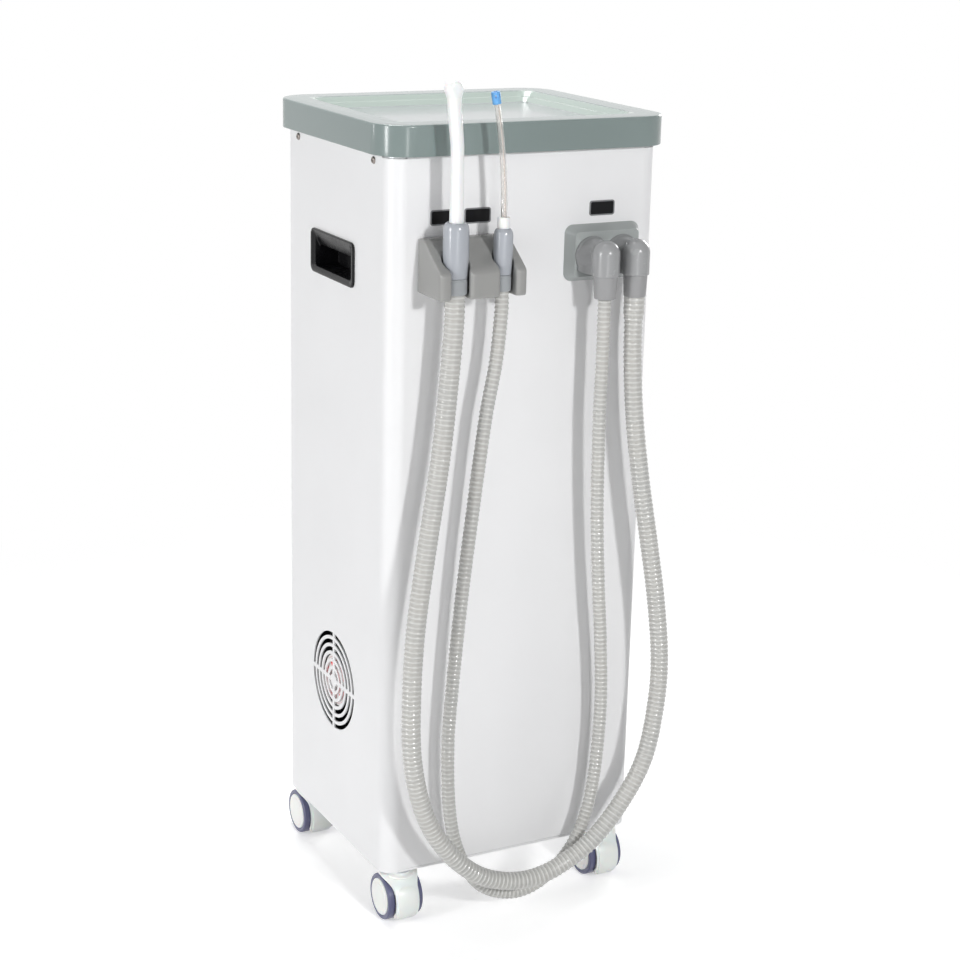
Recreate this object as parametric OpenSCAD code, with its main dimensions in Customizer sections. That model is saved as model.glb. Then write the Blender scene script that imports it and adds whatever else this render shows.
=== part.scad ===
// Portable dental suction unit: a wheeled sheet-metal cabinet with a moulded tray top,
// two suction handsets parked in a front holder, and their ribbed hoses running to the
// elbows of a filter housing. The pump, waste tank and fan sit inside.
// Millimetres. X runs along the front, Y towards the back, Z up from the floor.

/* [Cabinet] */
// Width of the cabinet across the front
cab_w = 300; // [298:1:340]
// Depth of the cabinet, front to back
cab_d = 260; // [256:1:290]
// Height of the cabinet's lower edge above the floor
cab_base = 62; // [61:0.5:76]
// Height of the tray skirt's lower edge above the floor
skirt_base = 812; // [800:1:860]
// Radius of the cabinet's upright corners
cab_r = 18; // [12:1:22]
// Thickness of the sheet metal
sheet = 1.5; // [1:0.1:2]
// Width of the flat returns that carry the rear panel
return_w = 12; // [10:0.5:16]
// Length of the label plates
label_w = 27.4; // [24:0.2:30]
// Height of the label plates
label_h = 13.8; // [12:0.2:15]
// Middle of the label plates above the floor
label_z = 751.7; // [747:0.1:770]

/* [Tray] */
// Overhang of the tray beyond the cabinet
overhang = 10; // [7:0.5:14]
// Height of the tray skirt
skirt_h = 30; // [26:1:36]
// Corner radius of the tray outline
tray_r = 35; // [30:1:40]
// Width of the flat rim
rim_w = 29; // [26:1:34]
// Depth of the recess below the rim
recess_depth = 11; // [8:0.5:12]
// Corner radius of the recess
recess_r = 18; // [14:1:22]
// Wall of the moulding
tray_wall = 3; // [2:0.25:3.5]

/* [Casters] */
// Distance of each stem from the cabinet's side
stem_inset_x = 27.5; // [26:0.5:32]
// Distance of each stem from the cabinet's front or back
stem_inset_y = 16; // [14:0.5:18]
// Offset of the axle behind the stem
trail = 8; // [5:0.5:11]
// Radius of the wheel
wheel_r = 25; // [22:0.5:26]
// Width of one wheel
wheel_w = 13; // [11:0.5:15]
// Distance from the caster's middle to the wheel's inner face
wheel_in = 7; // [6.8:0.1:8]
// Radius of the caster stem
stem_r = 5; // [4:0.25:5.25]
// Radius of the wheel axle
axle_r = 3; // [2.5:0.25:4]

/* [Handset holder] */
// Position of the strong handset along the front
strong_x = -97.5; // [-100:0.5:-95]
// Position of the weak handset along the front
weak_x = -46.5; // [-49:0.5:-44]
// Distance of the handset axes from the front panel
park = 37; // [35:0.5:40]
// Reach of the left ear past the strong handset's axis
ear_left = 22.5; // [20:0.5:26]
// Reach of the right ear past the weak handset's axis
ear_right = 20.2; // [18:0.2:24]
// Reach of the holder from the front panel
holder_reach = 52; // [49:0.5:56]
// Height of the holder's underside
holder_base = 680; // [660:1:684]
// Height of the holder's back plate
holder_h = 53.5; // [50:0.5:60]
// Height of the holder's front faces
holder_front_h = 27; // [22:0.5:32]
// Thickness of the holder's top behind the slope
holder_back_t = 13; // [11:0.5:16]
// Thickness of the ledge that a parked handset stands on
ledge = 4; // [3:0.5:5]

/* [Handsets] */
// Radius of the strong handset's body
strong_r = 12.6; // [12:0.1:13.2]
// Radius of the weak handset's body
weak_r = 9.5; // [9.2:0.1:10.2]
// Length of the strong handset with its swivel
strong_len = 69; // [62:1:80]
// Length of the weak handset with its swivel
weak_len = 60.5; // [54:0.5:72]
// Length of each swivel
swivel_len = 15.5; // [12:0.5:18]
// Depth of the strong handset's socket
strong_socket = 24; // [18:0.5:28]
// Depth of the weak handset's socket
weak_socket = 12; // [9:0.5:16]
// Radius of the wide suction tip where it enters the handset
tip_r = 7.6; // [7.2:0.1:8]
// Radius of the wide suction tip along its straight part
tip_mid_r = 6.2; // [5.9:0.1:6.8]
// Length of the wide suction tip up to its bend
tip_len = 82; // [70:1:95]
// Wall of the wide suction tip
tip_wall = 1.4; // [1:0.1:1.8]
// Radius of the saliva ejector's tube
ejector_r = 3.1; // [2.8:0.1:3.4]
// Radius of the saliva ejector's cap
cap_r = 4.3; // [3.9:0.1:4.8]
// Length of the saliva ejector's cap
cap_len = 13.5; // [11:0.5:16]

/* [Filter] */
// Middle of the filter plate along the front
filter_x = 85.2; // [82:0.2:88]
// Half the distance between the two ports
port_gap = 17.3; // [16.5:0.1:18.5]
// Height of the ports above the floor
port_z = 707; // [695:0.5:712]
// Height of the filter plate on the panel
plate_h = 57.1; // [54:0.1:60]
// Thickness of the filter plate
plate_t = 12; // [10:0.5:14]
// Width of the slope round the plate
plate_draft = 6; // [4:0.5:7]
// Radius of the ports
port_r = 15; // [14:0.1:15.5]
// Radius of an elbow's flange
flange_r = 19.4; // [18.5:0.1:20]
// Distance of the hose axes from the front panel at the elbows
elbow_reach = 40.2; // [38:0.2:44]
// Radius of an elbow's outlet
elbow_r = 13.8; // [13:0.1:14.5]
// Drop from the port's axis to an elbow's outlet
elbow_drop = 16.5; // [15:0.5:20]
// Length of the hose cuffs
cuff_len = 22.5; // [18:0.5:26]

/* [Hoses] */
// Outer radius of the strong hose
strong_hose_r = 10; // [9:0.1:10.1]
// Outer radius of the weak hose
weak_hose_r = 7; // [6:0.1:7.1]
// Wall of a hose at its ribs
hose_wall = 2.6; // [2.3:0.1:3]
// Depth of the grooves between the ribs
groove = 0.9; // [0.5:0.1:1.1]

/* [Side panel] */
// Middle of the vent above the floor
vent_z = 234; // [220:1:260]
// Outer radius of the vent
vent_r = 53.8; // [50:0.1:55]
// Width of a vent slot
slot_w = 4.7; // [4:0.1:5.5]
// Distance from one vent ring to the next
slot_pitch = 8.4; // [8:0.1:8.8]
// Width of the vent's spokes
spoke_w = 4.5; // [3.5:0.1:6]
// Side of the fan's square frame
fan_size = 120; // [118:1:124]
// Depth of the fan
fan_t = 25; // [24:0.5:26]
// Middle of the carry handles above the floor
grip_z = 693.5; // [650:0.5:720]
// Offset of the carry handles behind the cabinet's middle
grip_y = 3.5; // [0:0.5:8]
// Length of a carry handle's frame
grip_l = 107; // [100:1:120]
// Height of a carry handle's frame
grip_h = 45.5; // [42:0.5:50]
// Depth of a carry handle's cup
grip_depth = 28; // [25:1:32]
// Width of the frame round a carry handle's cup
grip_rim = 7; // [5:0.5:8]

/* [Inside] */
// Radius of the pump housing
pump_r = 75; // [70:1:76]
// Length of the pump housing
pump_l = 56; // [50:1:60]
// Height of the pump's shaft
pump_z = 160; // [150:1:170]
// Radius of the pump's shaft
shaft_r = 8; // [6:0.5:9]
// Radius of the motor
motor_r = 52; // [46:1:55]
// Length of the motor
motor_l = 120; // [100:1:130]
// Width of the waste tank
tank_w = 102; // [90:1:103]
// Depth of the waste tank
tank_d = 184; // [170:1:186]
// Height of the waste tank
tank_h = 266; // [220:1:280]
// Wall of the waste tank
tank_wall = 3; // [2.5:0.25:4]
// Outer radius of the inner pipe stubs
stub_r = 12; // [11:0.25:12.5]
// Outer radius of the exhaust spigot behind the unit
exhaust_r = 12.5; // [11:0.25:14]
// Outer radius of the drain spigot behind the unit
drain_r = 8; // [6:0.25:10]
// Length of the spigots that take a push-on hose
spigot_l = 19; // [15:1:24]

/* [Hidden] */
$fn = 64;
// Clearances: a turning fit, a loose fit between still parts, a gap past a moving part
run_fit = 0.05;
slip = 0.25;
free = 0.3;
// Faces of the cabinet; its middle lies where the unit's whole depth is centred
flange_t = 1.5;
cab_y = (elbow_reach + elbow_r - sheet - flange_t - spigot_l) / 2;
front = cab_y - cab_d / 2;
back = cab_y + cab_d / 2;
side = cab_w / 2;
pan_t = 2;
pan_top = cab_base + pan_t;
pan_lip = 22;
shell_top = skirt_base + 14;
tray_top_z = skirt_base + skirt_h;
tray_floor_z = tray_top_z - recess_depth;
frame_top = tray_floor_z - tray_wall;
tray_w = cab_w + 2 * overhang;
tray_d = cab_d + 2 * overhang;
rear_w = cab_w - 2 * cab_r - 2;
rear_open = cab_w - 2 * cab_r - 2 * return_w;
// Screws: under the tray on both sides, and down the rear panel's edges
screw_r = 1.85;
head_r = 3.8;
side_screw_y = 93;
side_screw_z = skirt_base - 7.6;
rear_screw_x = side - cab_r - return_w / 2;
REAR_SCREWS = [for (k = [0 : 3]) cab_base + 18 + k * (skirt_base - cab_base - 40) / 3];
// Handset axes and the holder's slots
park_y = front - park;
park_z = holder_base + ledge;
strong_slot_r = strong_r + 0.9;
weak_slot_r = weak_r + 0.8;
strong_mouth = 2 * strong_hose_r - 0.5;
weak_mouth = 2 * weak_hose_r + 3;
ear_r = 4;
dome = 8;
tip_z = park_z + strong_len - strong_socket;
tip_bend_z = park_z + strong_len + tip_len;
tip_bend_r = 120;
tip_bend = 16;
ejector_z = park_z + weak_len + 11;
ejector_bend_r = 520;
ejector_bend = 11.7;
// Elbows, ports and the chambers behind the plate
elbow_y = front - elbow_reach;
elbow_base = port_z - elbow_drop;
cuff_base = elbow_base - cuff_len;
weak_port_x = filter_x - port_gap;
strong_port_x = filter_x + port_gap;
plate_w = 2 * (port_gap + flange_r + plate_draft);
chamber_w = 2 * (port_gap + port_r) + 11;
chamber_h = 2 * port_r + 18;
// Casters
stem_x = side - stem_inset_x;
stem_y = cab_d / 2 - stem_inset_y;
hood_in = wheel_r + 1.2;
hood_out = wheel_r + 3.7;
hood_w = 2 * (wheel_in + 6.5);
web_w = 2 * wheel_in - 1.4;
hood_top = cab_base - 4.5;
stem_z = wheel_r + axle_r + 6;
// Inside: the waste tank beside the right wall, then the pump, then the fan's space
tank_x = side - 8 - tank_w / 2;
tank_y = cab_y - 10;
tank_front = tank_y - tank_d / 2;
tank_back = tank_y + tank_d / 2;
lid_z = pan_top + tank_h;
lid_t = 5;
pump_x = tank_x - tank_w / 2 - 10 - pump_r;
pump_y = front + 24;
pump_back = pump_y + pump_l;
filter_pipe = [filter_x, tank_front + 14];
chamber_back = filter_pipe[1] + stub_r + 3;
port_back = filter_pipe[1] + 6;
strainer_l = port_back - front - 12;
pump_pipe = [tank_x - tank_w / 2 + 18, tank_front + 46];
pump_in = [pump_x + 30, pump_y + pump_l / 2];
pump_out = [pump_x - 30, pump_y + pump_l / 2];
stub_bore = stub_r - 3.5;
pipe_z = pump_z + pump_r + 3;
exhaust_z = pump_z + pump_r + 95;
drain_z = pan_top + 20;
float_y = tank_y + 30;
rod_r = 3;
rod_l = 80;
lid_stub_l = 22;
drain_stub_l = 14;
nut_r = stem_r + 3.5;
stem_top = pan_top + 14;
fan_x = -side + sheet;
hub_r = 27;
inlet_x = -side + 55;
inlet_z = 150;
board_x = side - 90;
board_z = lid_z + 120;
board_w = 110;
board_h = 90;
board_gap = 12.4;
board_t = 1.6;
transformer = [30, 27, 20];
relay = [24, 33, 18];
capacitor_r = 12;
capacitor_l = 40;
louvre_w = 55;

// Route of the strong hose, from the parked handset to its elbow
STRONG_ROUTE = [[strong_x, park_y, park_z], [strong_x, park_y, park_z - 22],
    [-102, -151, 600], [-111, -153, 521], [-127, -156, 422], [-138, -159, 348],
    [-143, -162, 277], [-141, -163, 208], [-126, -164, 147], [-100, -164, 102],
    [-66, -164, 69], [-30, -164, 53], [6, -164, 50], [41, -164, 60], [77, -164, 82],
    [111, -164, 120], [135, -164, 163], [146, -163, 218], [149, -162, 272],
    [142, -161, 338], [131, -159, 404], [119, -157, 470], [109, -155, 539],
    [104, -154, 600], [strong_port_x, elbow_y, cuff_base - 22],
    [strong_port_x, elbow_y, cuff_base]];
// Route of the weak hose
WEAK_ROUTE = [[weak_x, park_y, park_z], [weak_x, park_y, park_z - 18],
    [-51, -151, 615], [-61, -150, 555], [-72, -147, 453], [-80, -144, 368],
    [-87, -141, 270], [-90, -140, 205], [-86, -140, 130], [-73, -140, 80],
    [-49, -140, 42], [-14, -140, 25], [19, -140, 28], [50, -140, 50], [73, -140, 84],
    [86, -140, 135], [91, -141, 215], [87, -143, 290], [79, -146, 365],
    [72, -149, 450], [68, -153, 543], [68, -154, 605],
    [weak_port_x, elbow_y, cuff_base - 18], [weak_port_x, elbow_y, cuff_base]];
STRONG_RIBS = 124;
WEAK_RIBS = 112;

// A rectangle with round corners, centred
module round_rect(w, d, r) {
    square([w - 2 * r, d], center = true);
    square([w, d - 2 * r], center = true);
    for (x = [-1, 1], y = [-1, 1])
        translate([x * (w / 2 - r), y * (d / 2 - r)]) circle(r);
}

// A flat ring between two rounded rectangles, set in by the wall
module round_frame(w, d, r, wall) {
    difference() {
        round_rect(w, d, r);
        round_rect(w - 2 * wall, d - 2 * wall, r - wall);
    }
}

// The child profile carried round a rounded rectangle: its x is measured from the corner's centre
module rim_sweep(w, d, r) {
    for (a = [0 : 3]) {
        along = a % 2 == 0 ? d : w;
        across = a % 2 == 0 ? w : d;
        rotate([0, 0, 90 * a]) {
            translate([across / 2 - r, along / 2 - r, 0]) rotate_extrude(angle = 90) children();
            translate([across / 2 - r, along / 2 - r, 0])
                rotate([90, 0, 0]) linear_extrude(along - 2 * r) children();
        }
    }
}

// Points of an arc in the plane
function arc(c, r, a0, a1, n) = [for (i = [0 : n])
    c + r * [cos(a0 + (a1 - a0) * i / n), sin(a0 + (a1 - a0) * i / n)]];

// A pipe's cross-section
module annulus(r, bore) {
    difference() {
        circle(r);
        circle(bore);
    }
}

// A quarter turn of pipe, from pointing up (+Z) at the origin to pointing along +X
module pipe_bend(r, bore, turn_r) {
    translate([turn_r, 0, 0]) rotate([90, 0, 0]) rotate([0, 0, 90])
        rotate_extrude(angle = 90) translate([turn_r, 0]) annulus(r, bore);
}

// A straight length of pipe along +Z
module pipe_leg(r, bore, h) {
    linear_extrude(h) annulus(r, bore);
}

// Base pan: a folded tray with a lip that closes the gap under the front panel
module base_pan() {
    inner_w = cab_w - 2 * sheet - 2 * slip;
    inner_d = cab_d - 2 * sheet - 2 * slip;
    color("whitesmoke") difference() {
        union() {
            translate([0, cab_y, cab_base]) linear_extrude(pan_t)
                round_rect(inner_w, inner_d, cab_r - sheet);
            translate([0, cab_y, pan_top]) linear_extrude(pan_lip)
                round_frame(inner_w, inner_d, cab_r - sheet, sheet);
            translate([-side + cab_r, front, cab_base]) cube([cab_w - 2 * cab_r, 4, pan_t + 0.3]);
        }
        for (x = [-1, 1], y = [-1, 1])
            translate([x * stem_x, cab_y + y * stem_y, cab_base - 1])
                cylinder(r = stem_r + slip, h = pan_t + 2);
        for (s = [-1, 1]) translate([s * rear_screw_x, back, REAR_SCREWS[0]])
            rotate([90, 0, 0]) cylinder(r = screw_r + slip, h = 12, center = true);
        translate([tank_x, tank_back + 20, drain_z]) rotate([-90, 0, 0]) cylinder(r = stub_r + 4, h = 60);
    }
}

// The vent's open slots, as a flat pattern
module vent_slots() {
    difference() {
        for (k = [0 : floor((vent_r - slot_w - 2) / slot_pitch)]) annulus(vent_r - k * slot_pitch,
            vent_r - k * slot_pitch - slot_w);
        square([2 * vent_r + 2, spoke_w], center = true);
        square([spoke_w, 2 * vent_r + 2], center = true);
    }
}

// Cabinet shell: one bent sheet round the front, both sides and the rear corners
module cabinet_shell() {
    color("white") difference() {
        translate([0, cab_y, cab_base]) linear_extrude(shell_top - cab_base)
            round_frame(cab_w, cab_d, cab_r, sheet);
        // The opening that the rear panel closes
        translate([-rear_open / 2, back - 5, cab_base - 1]) cube([rear_open, 10, shell_top]);
        // The seam over the base pan's lip
        translate([-side + cab_r - 0.4, front - 1, cab_base - 1])
            cube([cab_w - 2 * cab_r + 0.8, 4, pan_t + 1.7]);
        // Relief cuts of the bends under the tray
        for (s = [-1, 1]) translate([s * (side - cab_r / 2), front + cab_r / 2, skirt_base + 17.4])
            cube([cab_r + 1, cab_r + 1, 40], center = true);
        // Vent in the left side
        translate([-side - 1, cab_y, vent_z]) rotate([90, 0, 90]) linear_extrude(sheet + 2) vent_slots();
        // Carry handle cut-outs
        for (s = [-1, 1]) translate([s * side, cab_y + grip_y, grip_z])
            cube([6, grip_l - 2 * grip_rim + 1, grip_h - 2 * grip_rim + 6], center = true);
        // Filter housing cut-out
        translate([filter_x, front, port_z]) cube([chamber_w + 1, 6, chamber_h + 1], center = true);
        // Screw holes
        for (s = [-1, 1], y = [-1, 1]) translate([s * side, cab_y + y * side_screw_y, side_screw_z])
            rotate([0, 90, 0]) cylinder(r = screw_r + slip, h = 8, center = true);
        for (s = [-1, 1], z = REAR_SCREWS) translate([s * rear_screw_x, back, z])
            rotate([90, 0, 0]) cylinder(r = screw_r + slip, h = 8, center = true);
    }
}

// Rear panel with its cut-outs and louvres
module rear_panel() {
    color("whitesmoke") difference() {
        translate([-rear_w / 2, back, cab_base + 3]) cube([rear_w, sheet, shell_top - cab_base - 4]);
        translate([inlet_x, back, inlet_z]) cube([30, 8, 55], center = true);
        translate([pump_out[0], back - 1, exhaust_z]) rotate([-90, 0, 0])
            cylinder(r = stub_r + slip, h = 4);
        translate([tank_x, back - 1, drain_z]) rotate([-90, 0, 0]) cylinder(r = stub_r + slip, h = 4);
        // Cooling slots high up
        for (s = [-1, 1], k = [0 : 7]) translate([s * (louvre_w / 2 + 7.5), back, skirt_base - 172 + 12 * k])
            cube([louvre_w, 8, 4], center = true);
        for (s = [-1, 1], z = REAR_SCREWS) translate([s * rear_screw_x, back, z])
            rotate([90, 0, 0]) cylinder(r = screw_r + slip, h = 8, center = true);
    }
}

// Folded frame inside the cabinet's top; its flat ring reaches under the tray's floor
module top_frame() {
    w = cab_w - 2 * sheet - 2 * slip;
    d = cab_d - 2 * sheet - 2 * slip;
    shelf = w / 2 - (tray_w / 2 - rim_w) + 10;
    color("silver") difference() {
        translate([0, cab_y, frame_top]) {
            translate([0, 0, -2]) linear_extrude(2) difference() {
                round_rect(w, d, cab_r - sheet);
                square([w - 2 * shelf, d - 2 * shelf], center = true);
            }
            translate([0, 0, -34]) linear_extrude(33) round_frame(w, d, cab_r - sheet, 2);
        }
        for (s = [-1, 1], y = [-1, 1]) translate([s * side, cab_y + y * side_screw_y, side_screw_z])
            rotate([0, 90, 0]) cylinder(r = screw_r + run_fit, h = 20, center = true);
    }
}

// Tray top: skirt with a round shoulder, flat rim and a recess with stepped sides
module tray_top() {
    shoulder = 4;
    w_in = tray_w - 2 * rim_w;
    d_in = tray_d - 2 * rim_w;
    color([0.58, 0.65, 0.65]) {
        translate([0, cab_y, 0]) rim_sweep(tray_w, tray_d, tray_r) polygon(concat(
            [[tray_r - tray_wall, skirt_base], [tray_r, skirt_base], [tray_r, tray_top_z - shoulder]],
            arc([tray_r - shoulder, tray_top_z - shoulder], shoulder, 15, 90, 5),
            [[tray_r - shoulder - 6, tray_top_z], [tray_r - shoulder - 6, tray_top_z - tray_wall],
            [tray_r - tray_wall, tray_top_z - tray_wall]]));
        translate([0, cab_y, tray_top_z - tray_wall]) linear_extrude(tray_wall) difference() {
            round_rect(tray_w - 2 * shoulder, tray_d - 2 * shoulder, tray_r - shoulder);
            round_rect(w_in + 2, d_in + 2, recess_r + 1);
        }
        translate([0, cab_y, 0]) rim_sweep(w_in, d_in, recess_r) polygon([
            [recess_r + 3, tray_top_z - tray_wall], [recess_r + 3, tray_top_z], [recess_r + 1, tray_top_z],
            [recess_r, tray_top_z - 1], [recess_r - 2, tray_floor_z + 3.5], [recess_r - 5, tray_floor_z + 1],
            [recess_r - 8, tray_floor_z], [recess_r - 8, frame_top], [recess_r + 1, frame_top]]);
        translate([0, cab_y, frame_top]) linear_extrude(tray_wall)
            round_rect(w_in - 14, d_in - 14, recess_r - 7);
    }
}

// One recessed carry handle, facing +X
module carry_handle() {
    w = grip_l - 2 * grip_rim;
    h = grip_h - 2 * grip_rim + 5;
    wall = 2;
    difference() {
        union() {
            rotate([90, 0, 90]) linear_extrude(2.5) round_rect(grip_l, grip_h, 7);
            translate([-grip_depth, -w / 2, -h / 2]) cube([grip_depth + 1, w, h]);
        }
        // Hollow behind the lip, higher than the mouth
        translate([wall - grip_depth, -w / 2 + wall, -h / 2 + wall])
            cube([grip_depth - 8, w - 2 * wall, h - 2 * wall]);
        // Mouth under the sloping lip
        translate([-7, 0, 0]) rotate([90, 0, 0]) linear_extrude(w - 2 * wall, center = true)
            polygon([[-1, -h / 2 + wall], [12, -h / 2 + wall], [12, h / 2 - wall], [9.5, h / 2 - wall],
                [-1, h / 2 - 14]]);
    }
}

// The two carry handles
module carry_handle_right() {
    color([0.1, 0.1, 0.1]) translate([side, cab_y + grip_y, grip_z]) carry_handle();
}

module carry_handle_left() {
    color([0.1, 0.1, 0.1]) translate([-side, cab_y + grip_y, grip_z]) mirror([1, 0, 0]) carry_handle();
}

// Frame of the cooling fan, with its motor plate on four arms
module fan_frame() {
    bore = fan_size / 2 - 3;
    color([0.13, 0.13, 0.14]) translate([fan_x, cab_y, vent_z]) rotate([90, 0, 90]) {
        difference() {
            linear_extrude(fan_t) round_rect(fan_size, fan_size, 8);
            translate([0, 0, -1]) cylinder(r = bore, h = fan_t + 2);
            for (x = [-1, 1], y = [-1, 1]) translate([x * (bore - 4.5), y * (bore - 4.5), -1])
                cylinder(r = 2.2, h = fan_t + 2);
        }
        difference() {
            union() {
                translate([0, 0, fan_t - 4]) cylinder(r = 22, h = 4);
                for (a = [0 : 90 : 270]) rotate([0, 0, a + 45])
                    translate([20, -2.5, fan_t - 4]) cube([bore + 1 - 20, 5, 4]);
            }
            translate([0, 0, fan_t - 5]) cylinder(r = 2 + run_fit, h = 6);
        }
    }
}

// Fan rotor: hub, seven blades and the shaft
module fan_rotor() {
    hub_gap = 1.5;
    root = hub_r - 2;
    color([0.2, 0.2, 0.22]) translate([fan_x, cab_y, vent_z]) rotate([90, 0, 90]) {
        translate([0, 0, hub_gap]) cylinder(r = hub_r, h = fan_t - 4 - hub_gap - free);
        translate([0, 0, hub_gap]) cylinder(r = 2, h = fan_t - 0.5 - hub_gap);
        for (a = [0 : 360 / 7 : 359]) rotate([0, 0, a]) translate([root, 0, fan_t / 2 - 1.5])
            rotate([38, 0, 0]) translate([0, -10, -0.9]) cube([fan_size / 2 - 5 - root, 20, 1.8]);
    }
}

// Mains inlet with three blades, and the frame of the rocker switch above it
module power_inlet() {
    color([0.12, 0.12, 0.13]) translate([inlet_x, back + sheet, inlet_z]) {
        difference() {
            union() {
                translate([-18, 0, -31]) cube([36, 3, 62]);
                translate([-14.5, -24, -27]) cube([29, 25, 54]);
            }
            translate([-13, -13, -23]) cube([26, 17, 18]);
            translate([-11.5, -12, 2.5]) cube([23, 16, 20]);
            translate([-14, -2, 12.5]) rotate([0, 90, 0]) cylinder(r = 1.5 + run_fit, h = 28);
        }
        for (x = [-7, 0, 7]) translate([x - 1, -14, x == 0 ? -11.5 : -16.5]) cube([2, 10, 4]);
    }
}

// Rocker of the mains switch on its pin, stored pressed at its lower end
module power_switch() {
    color([0.05, 0.05, 0.05]) translate([inlet_x, back + sheet - 2, inlet_z + 12.5]) {
        rotate([8, 0, 0]) rotate([90, 0, 90]) linear_extrude(22, center = true)
            polygon([[-6, -7], [4.4, -8], [3.2, 0], [4.4, 8], [-6, 7]]);
        translate([-14 + free, 0, 0]) rotate([0, 90, 0]) cylinder(r = 1.5, h = 28 - 2 * free);
    }
}

// Bare label plates over the handsets and the filter
module label_plates() {
    color([0.06, 0.06, 0.06]) for (x = [strong_x + 5.1, weak_x - 9.3, filter_x - 0.6])
        translate([x, front, label_z]) rotate([90, 0, 0]) linear_extrude(0.8)
            round_rect(label_w, label_h, 2);
}

// One pan-head screw pointing along -Z, its head above z = 0
module screw(reach) {
    cylinder(r1 = head_r, r2 = head_r - 1.2, h = 2);
    translate([0, 0, -reach]) cylinder(r = screw_r, h = reach + 0.5);
}

// All the cabinet's screws
module panel_screws() {
    color("silver") {
        for (s = [-1, 1], y = [-1, 1]) translate([s * side, cab_y + y * side_screw_y, side_screw_z])
            rotate([0, s * 90, 0]) screw(7);
        for (s = [-1, 1], z = REAR_SCREWS) translate([s * rear_screw_x, back + sheet, z])
            rotate([-90, 0, 0]) screw(2 * sheet + 2);
    }
}

// The holder seen from above: ears with round front corners, and a round seat per handset
module holder_plan(strong_seat, weak_seat, strong_gap, weak_gap) {
    x0 = strong_x - ear_left;
    x3 = weak_x + ear_right;
    tip = -holder_reach;
    difference() {
        union() {
            translate([x0, -park]) square([x3 - x0, park]);
            for (e = [[x0, strong_x - strong_gap / 2], [strong_x + strong_gap / 2, weak_x - weak_gap / 2],
                [weak_x + weak_gap / 2, x3]]) {
                translate([e[0], tip + ear_r]) square([e[1] - e[0], -tip - ear_r]);
                translate([e[0] + ear_r, tip]) square([e[1] - e[0] - 2 * ear_r, ear_r + 1]);
                for (x = [e[0] + ear_r, e[1] - ear_r]) translate([x, tip + ear_r]) circle(ear_r);
            }
        }
        translate([strong_x, -park]) circle(strong_seat);
        translate([weak_x, -park]) circle(weak_seat);
    }
}

// Holder for the two handsets: a back plate and three forward ears under a slope
module holder_bracket() {
    color([0.59, 0.6, 0.59]) intersection() {
        translate([strong_x - ear_left - 1, front, holder_base]) rotate([90, 0, 90])
            linear_extrude(weak_x + ear_right - strong_x + ear_left + 2) polygon([
                [0, 0], [-holder_reach + 2, 0], [-holder_reach, 2],
                [-holder_reach, holder_front_h - 4], [-holder_reach + 1.2, holder_front_h - 1.2],
                [-holder_reach + 4, holder_front_h + 1],
                [-holder_back_t - 2, holder_h - 2], [-holder_back_t + 1.5, holder_h - 0.4],
                [-holder_back_t + 4, holder_h], [0, holder_h]]);
        translate([0, front, holder_base]) {
            linear_extrude(ledge) holder_plan(strong_hose_r + 0.5, weak_hose_r + 0.6,
                strong_mouth, weak_mouth);
            translate([0, 0, ledge]) linear_extrude(holder_h) holder_plan(strong_slot_r, weak_slot_r,
                strong_mouth, weak_mouth);
        }
    }
}

// A handset body turned from a profile, with the tip's socket and the suction bore
module handset_body(r, len, socket_r, socket_d, bore) {
    neck = socket_r + 1.2;
    rotate_extrude() polygon(concat(
        [[bore, swivel_len + free], [r - 1.1, swivel_len + free], [r, swivel_len + 22]],
        [for (i = [0 : 7]) let (a = 90 * i / 7) [neck + (r - neck) * cos(a), len - dome + dome * sin(a)]],
        [[socket_r, len], [socket_r, len - socket_d], [bore, len - socket_d]]));
}

// A swivel at the foot of a handset, with the collar that the body turns on
module handset_swivel(r, bore) {
    rotate_extrude() polygon([[bore, 0], [r - 1.4, 0], [r - 0.9, 1], [r - 1.1, swivel_len],
        [bore + 2, swivel_len], [bore + 2, swivel_len + free], [bore, swivel_len + free]]);
}

// Body of the strong handset
module strong_handpiece() {
    color([0.7, 0.72, 0.76]) translate([strong_x, park_y, park_z])
        handset_body(strong_r, strong_len, tip_r + run_fit, strong_socket, 6);
}

// Swivel of the strong handset
module strong_swivel() {
    color([0.65, 0.68, 0.71]) translate([strong_x, park_y, park_z]) handset_swivel(strong_r, 6);
}

// Wide suction tip: a straight tube, a bend to the side and a flared, flattened head
module strong_tip() {
    bore = tip_mid_r - tip_wall;
    taper = tip_len - 15;
    color("white") translate([strong_x, park_y, 0]) difference() {
        union() {
            translate([0, 0, tip_z]) cylinder(r = tip_r, h = strong_socket);
            translate([0, 0, tip_z + strong_socket]) cylinder(r1 = tip_r, r2 = tip_mid_r, h = taper);
            translate([0, 0, tip_z + strong_socket + taper]) cylinder(r = tip_mid_r, h = tip_len - taper);
            translate([-tip_bend_r, 0, tip_bend_z]) rotate([90, 0, 0])
                rotate_extrude(angle = tip_bend) translate([tip_bend_r, 0]) circle(tip_mid_r);
            head_place() intersection() {
                rotate_extrude() polygon([[0, -2], [tip_mid_r - 0.6, -2], [tip_mid_r + 0.2, 1],
                    [tip_mid_r + 1.2, 4.5], [tip_mid_r + 2.6, 8], [tip_mid_r + 3.4, 11],
                    [tip_mid_r + 3.4, 13.5], [tip_mid_r + 2.6, 15.5], [tip_mid_r + 1.4, 16.6], [0, 16.6]]);
                cube([40, 15.6, 60], center = true);
            }
        }
        translate([0, 0, tip_z - 1]) cylinder(r = bore, h = tip_bend_z - tip_z + 1);
        translate([-tip_bend_r, 0, tip_bend_z]) rotate([90, 0, 0])
            rotate_extrude(angle = tip_bend) translate([tip_bend_r, 0]) circle(bore);
        head_place() rotate_extrude() polygon([[0, -1], [bore, -1], [bore, 4], [tip_mid_r, 13],
            [tip_mid_r, 18], [0, 18]]);
    }
}

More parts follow.
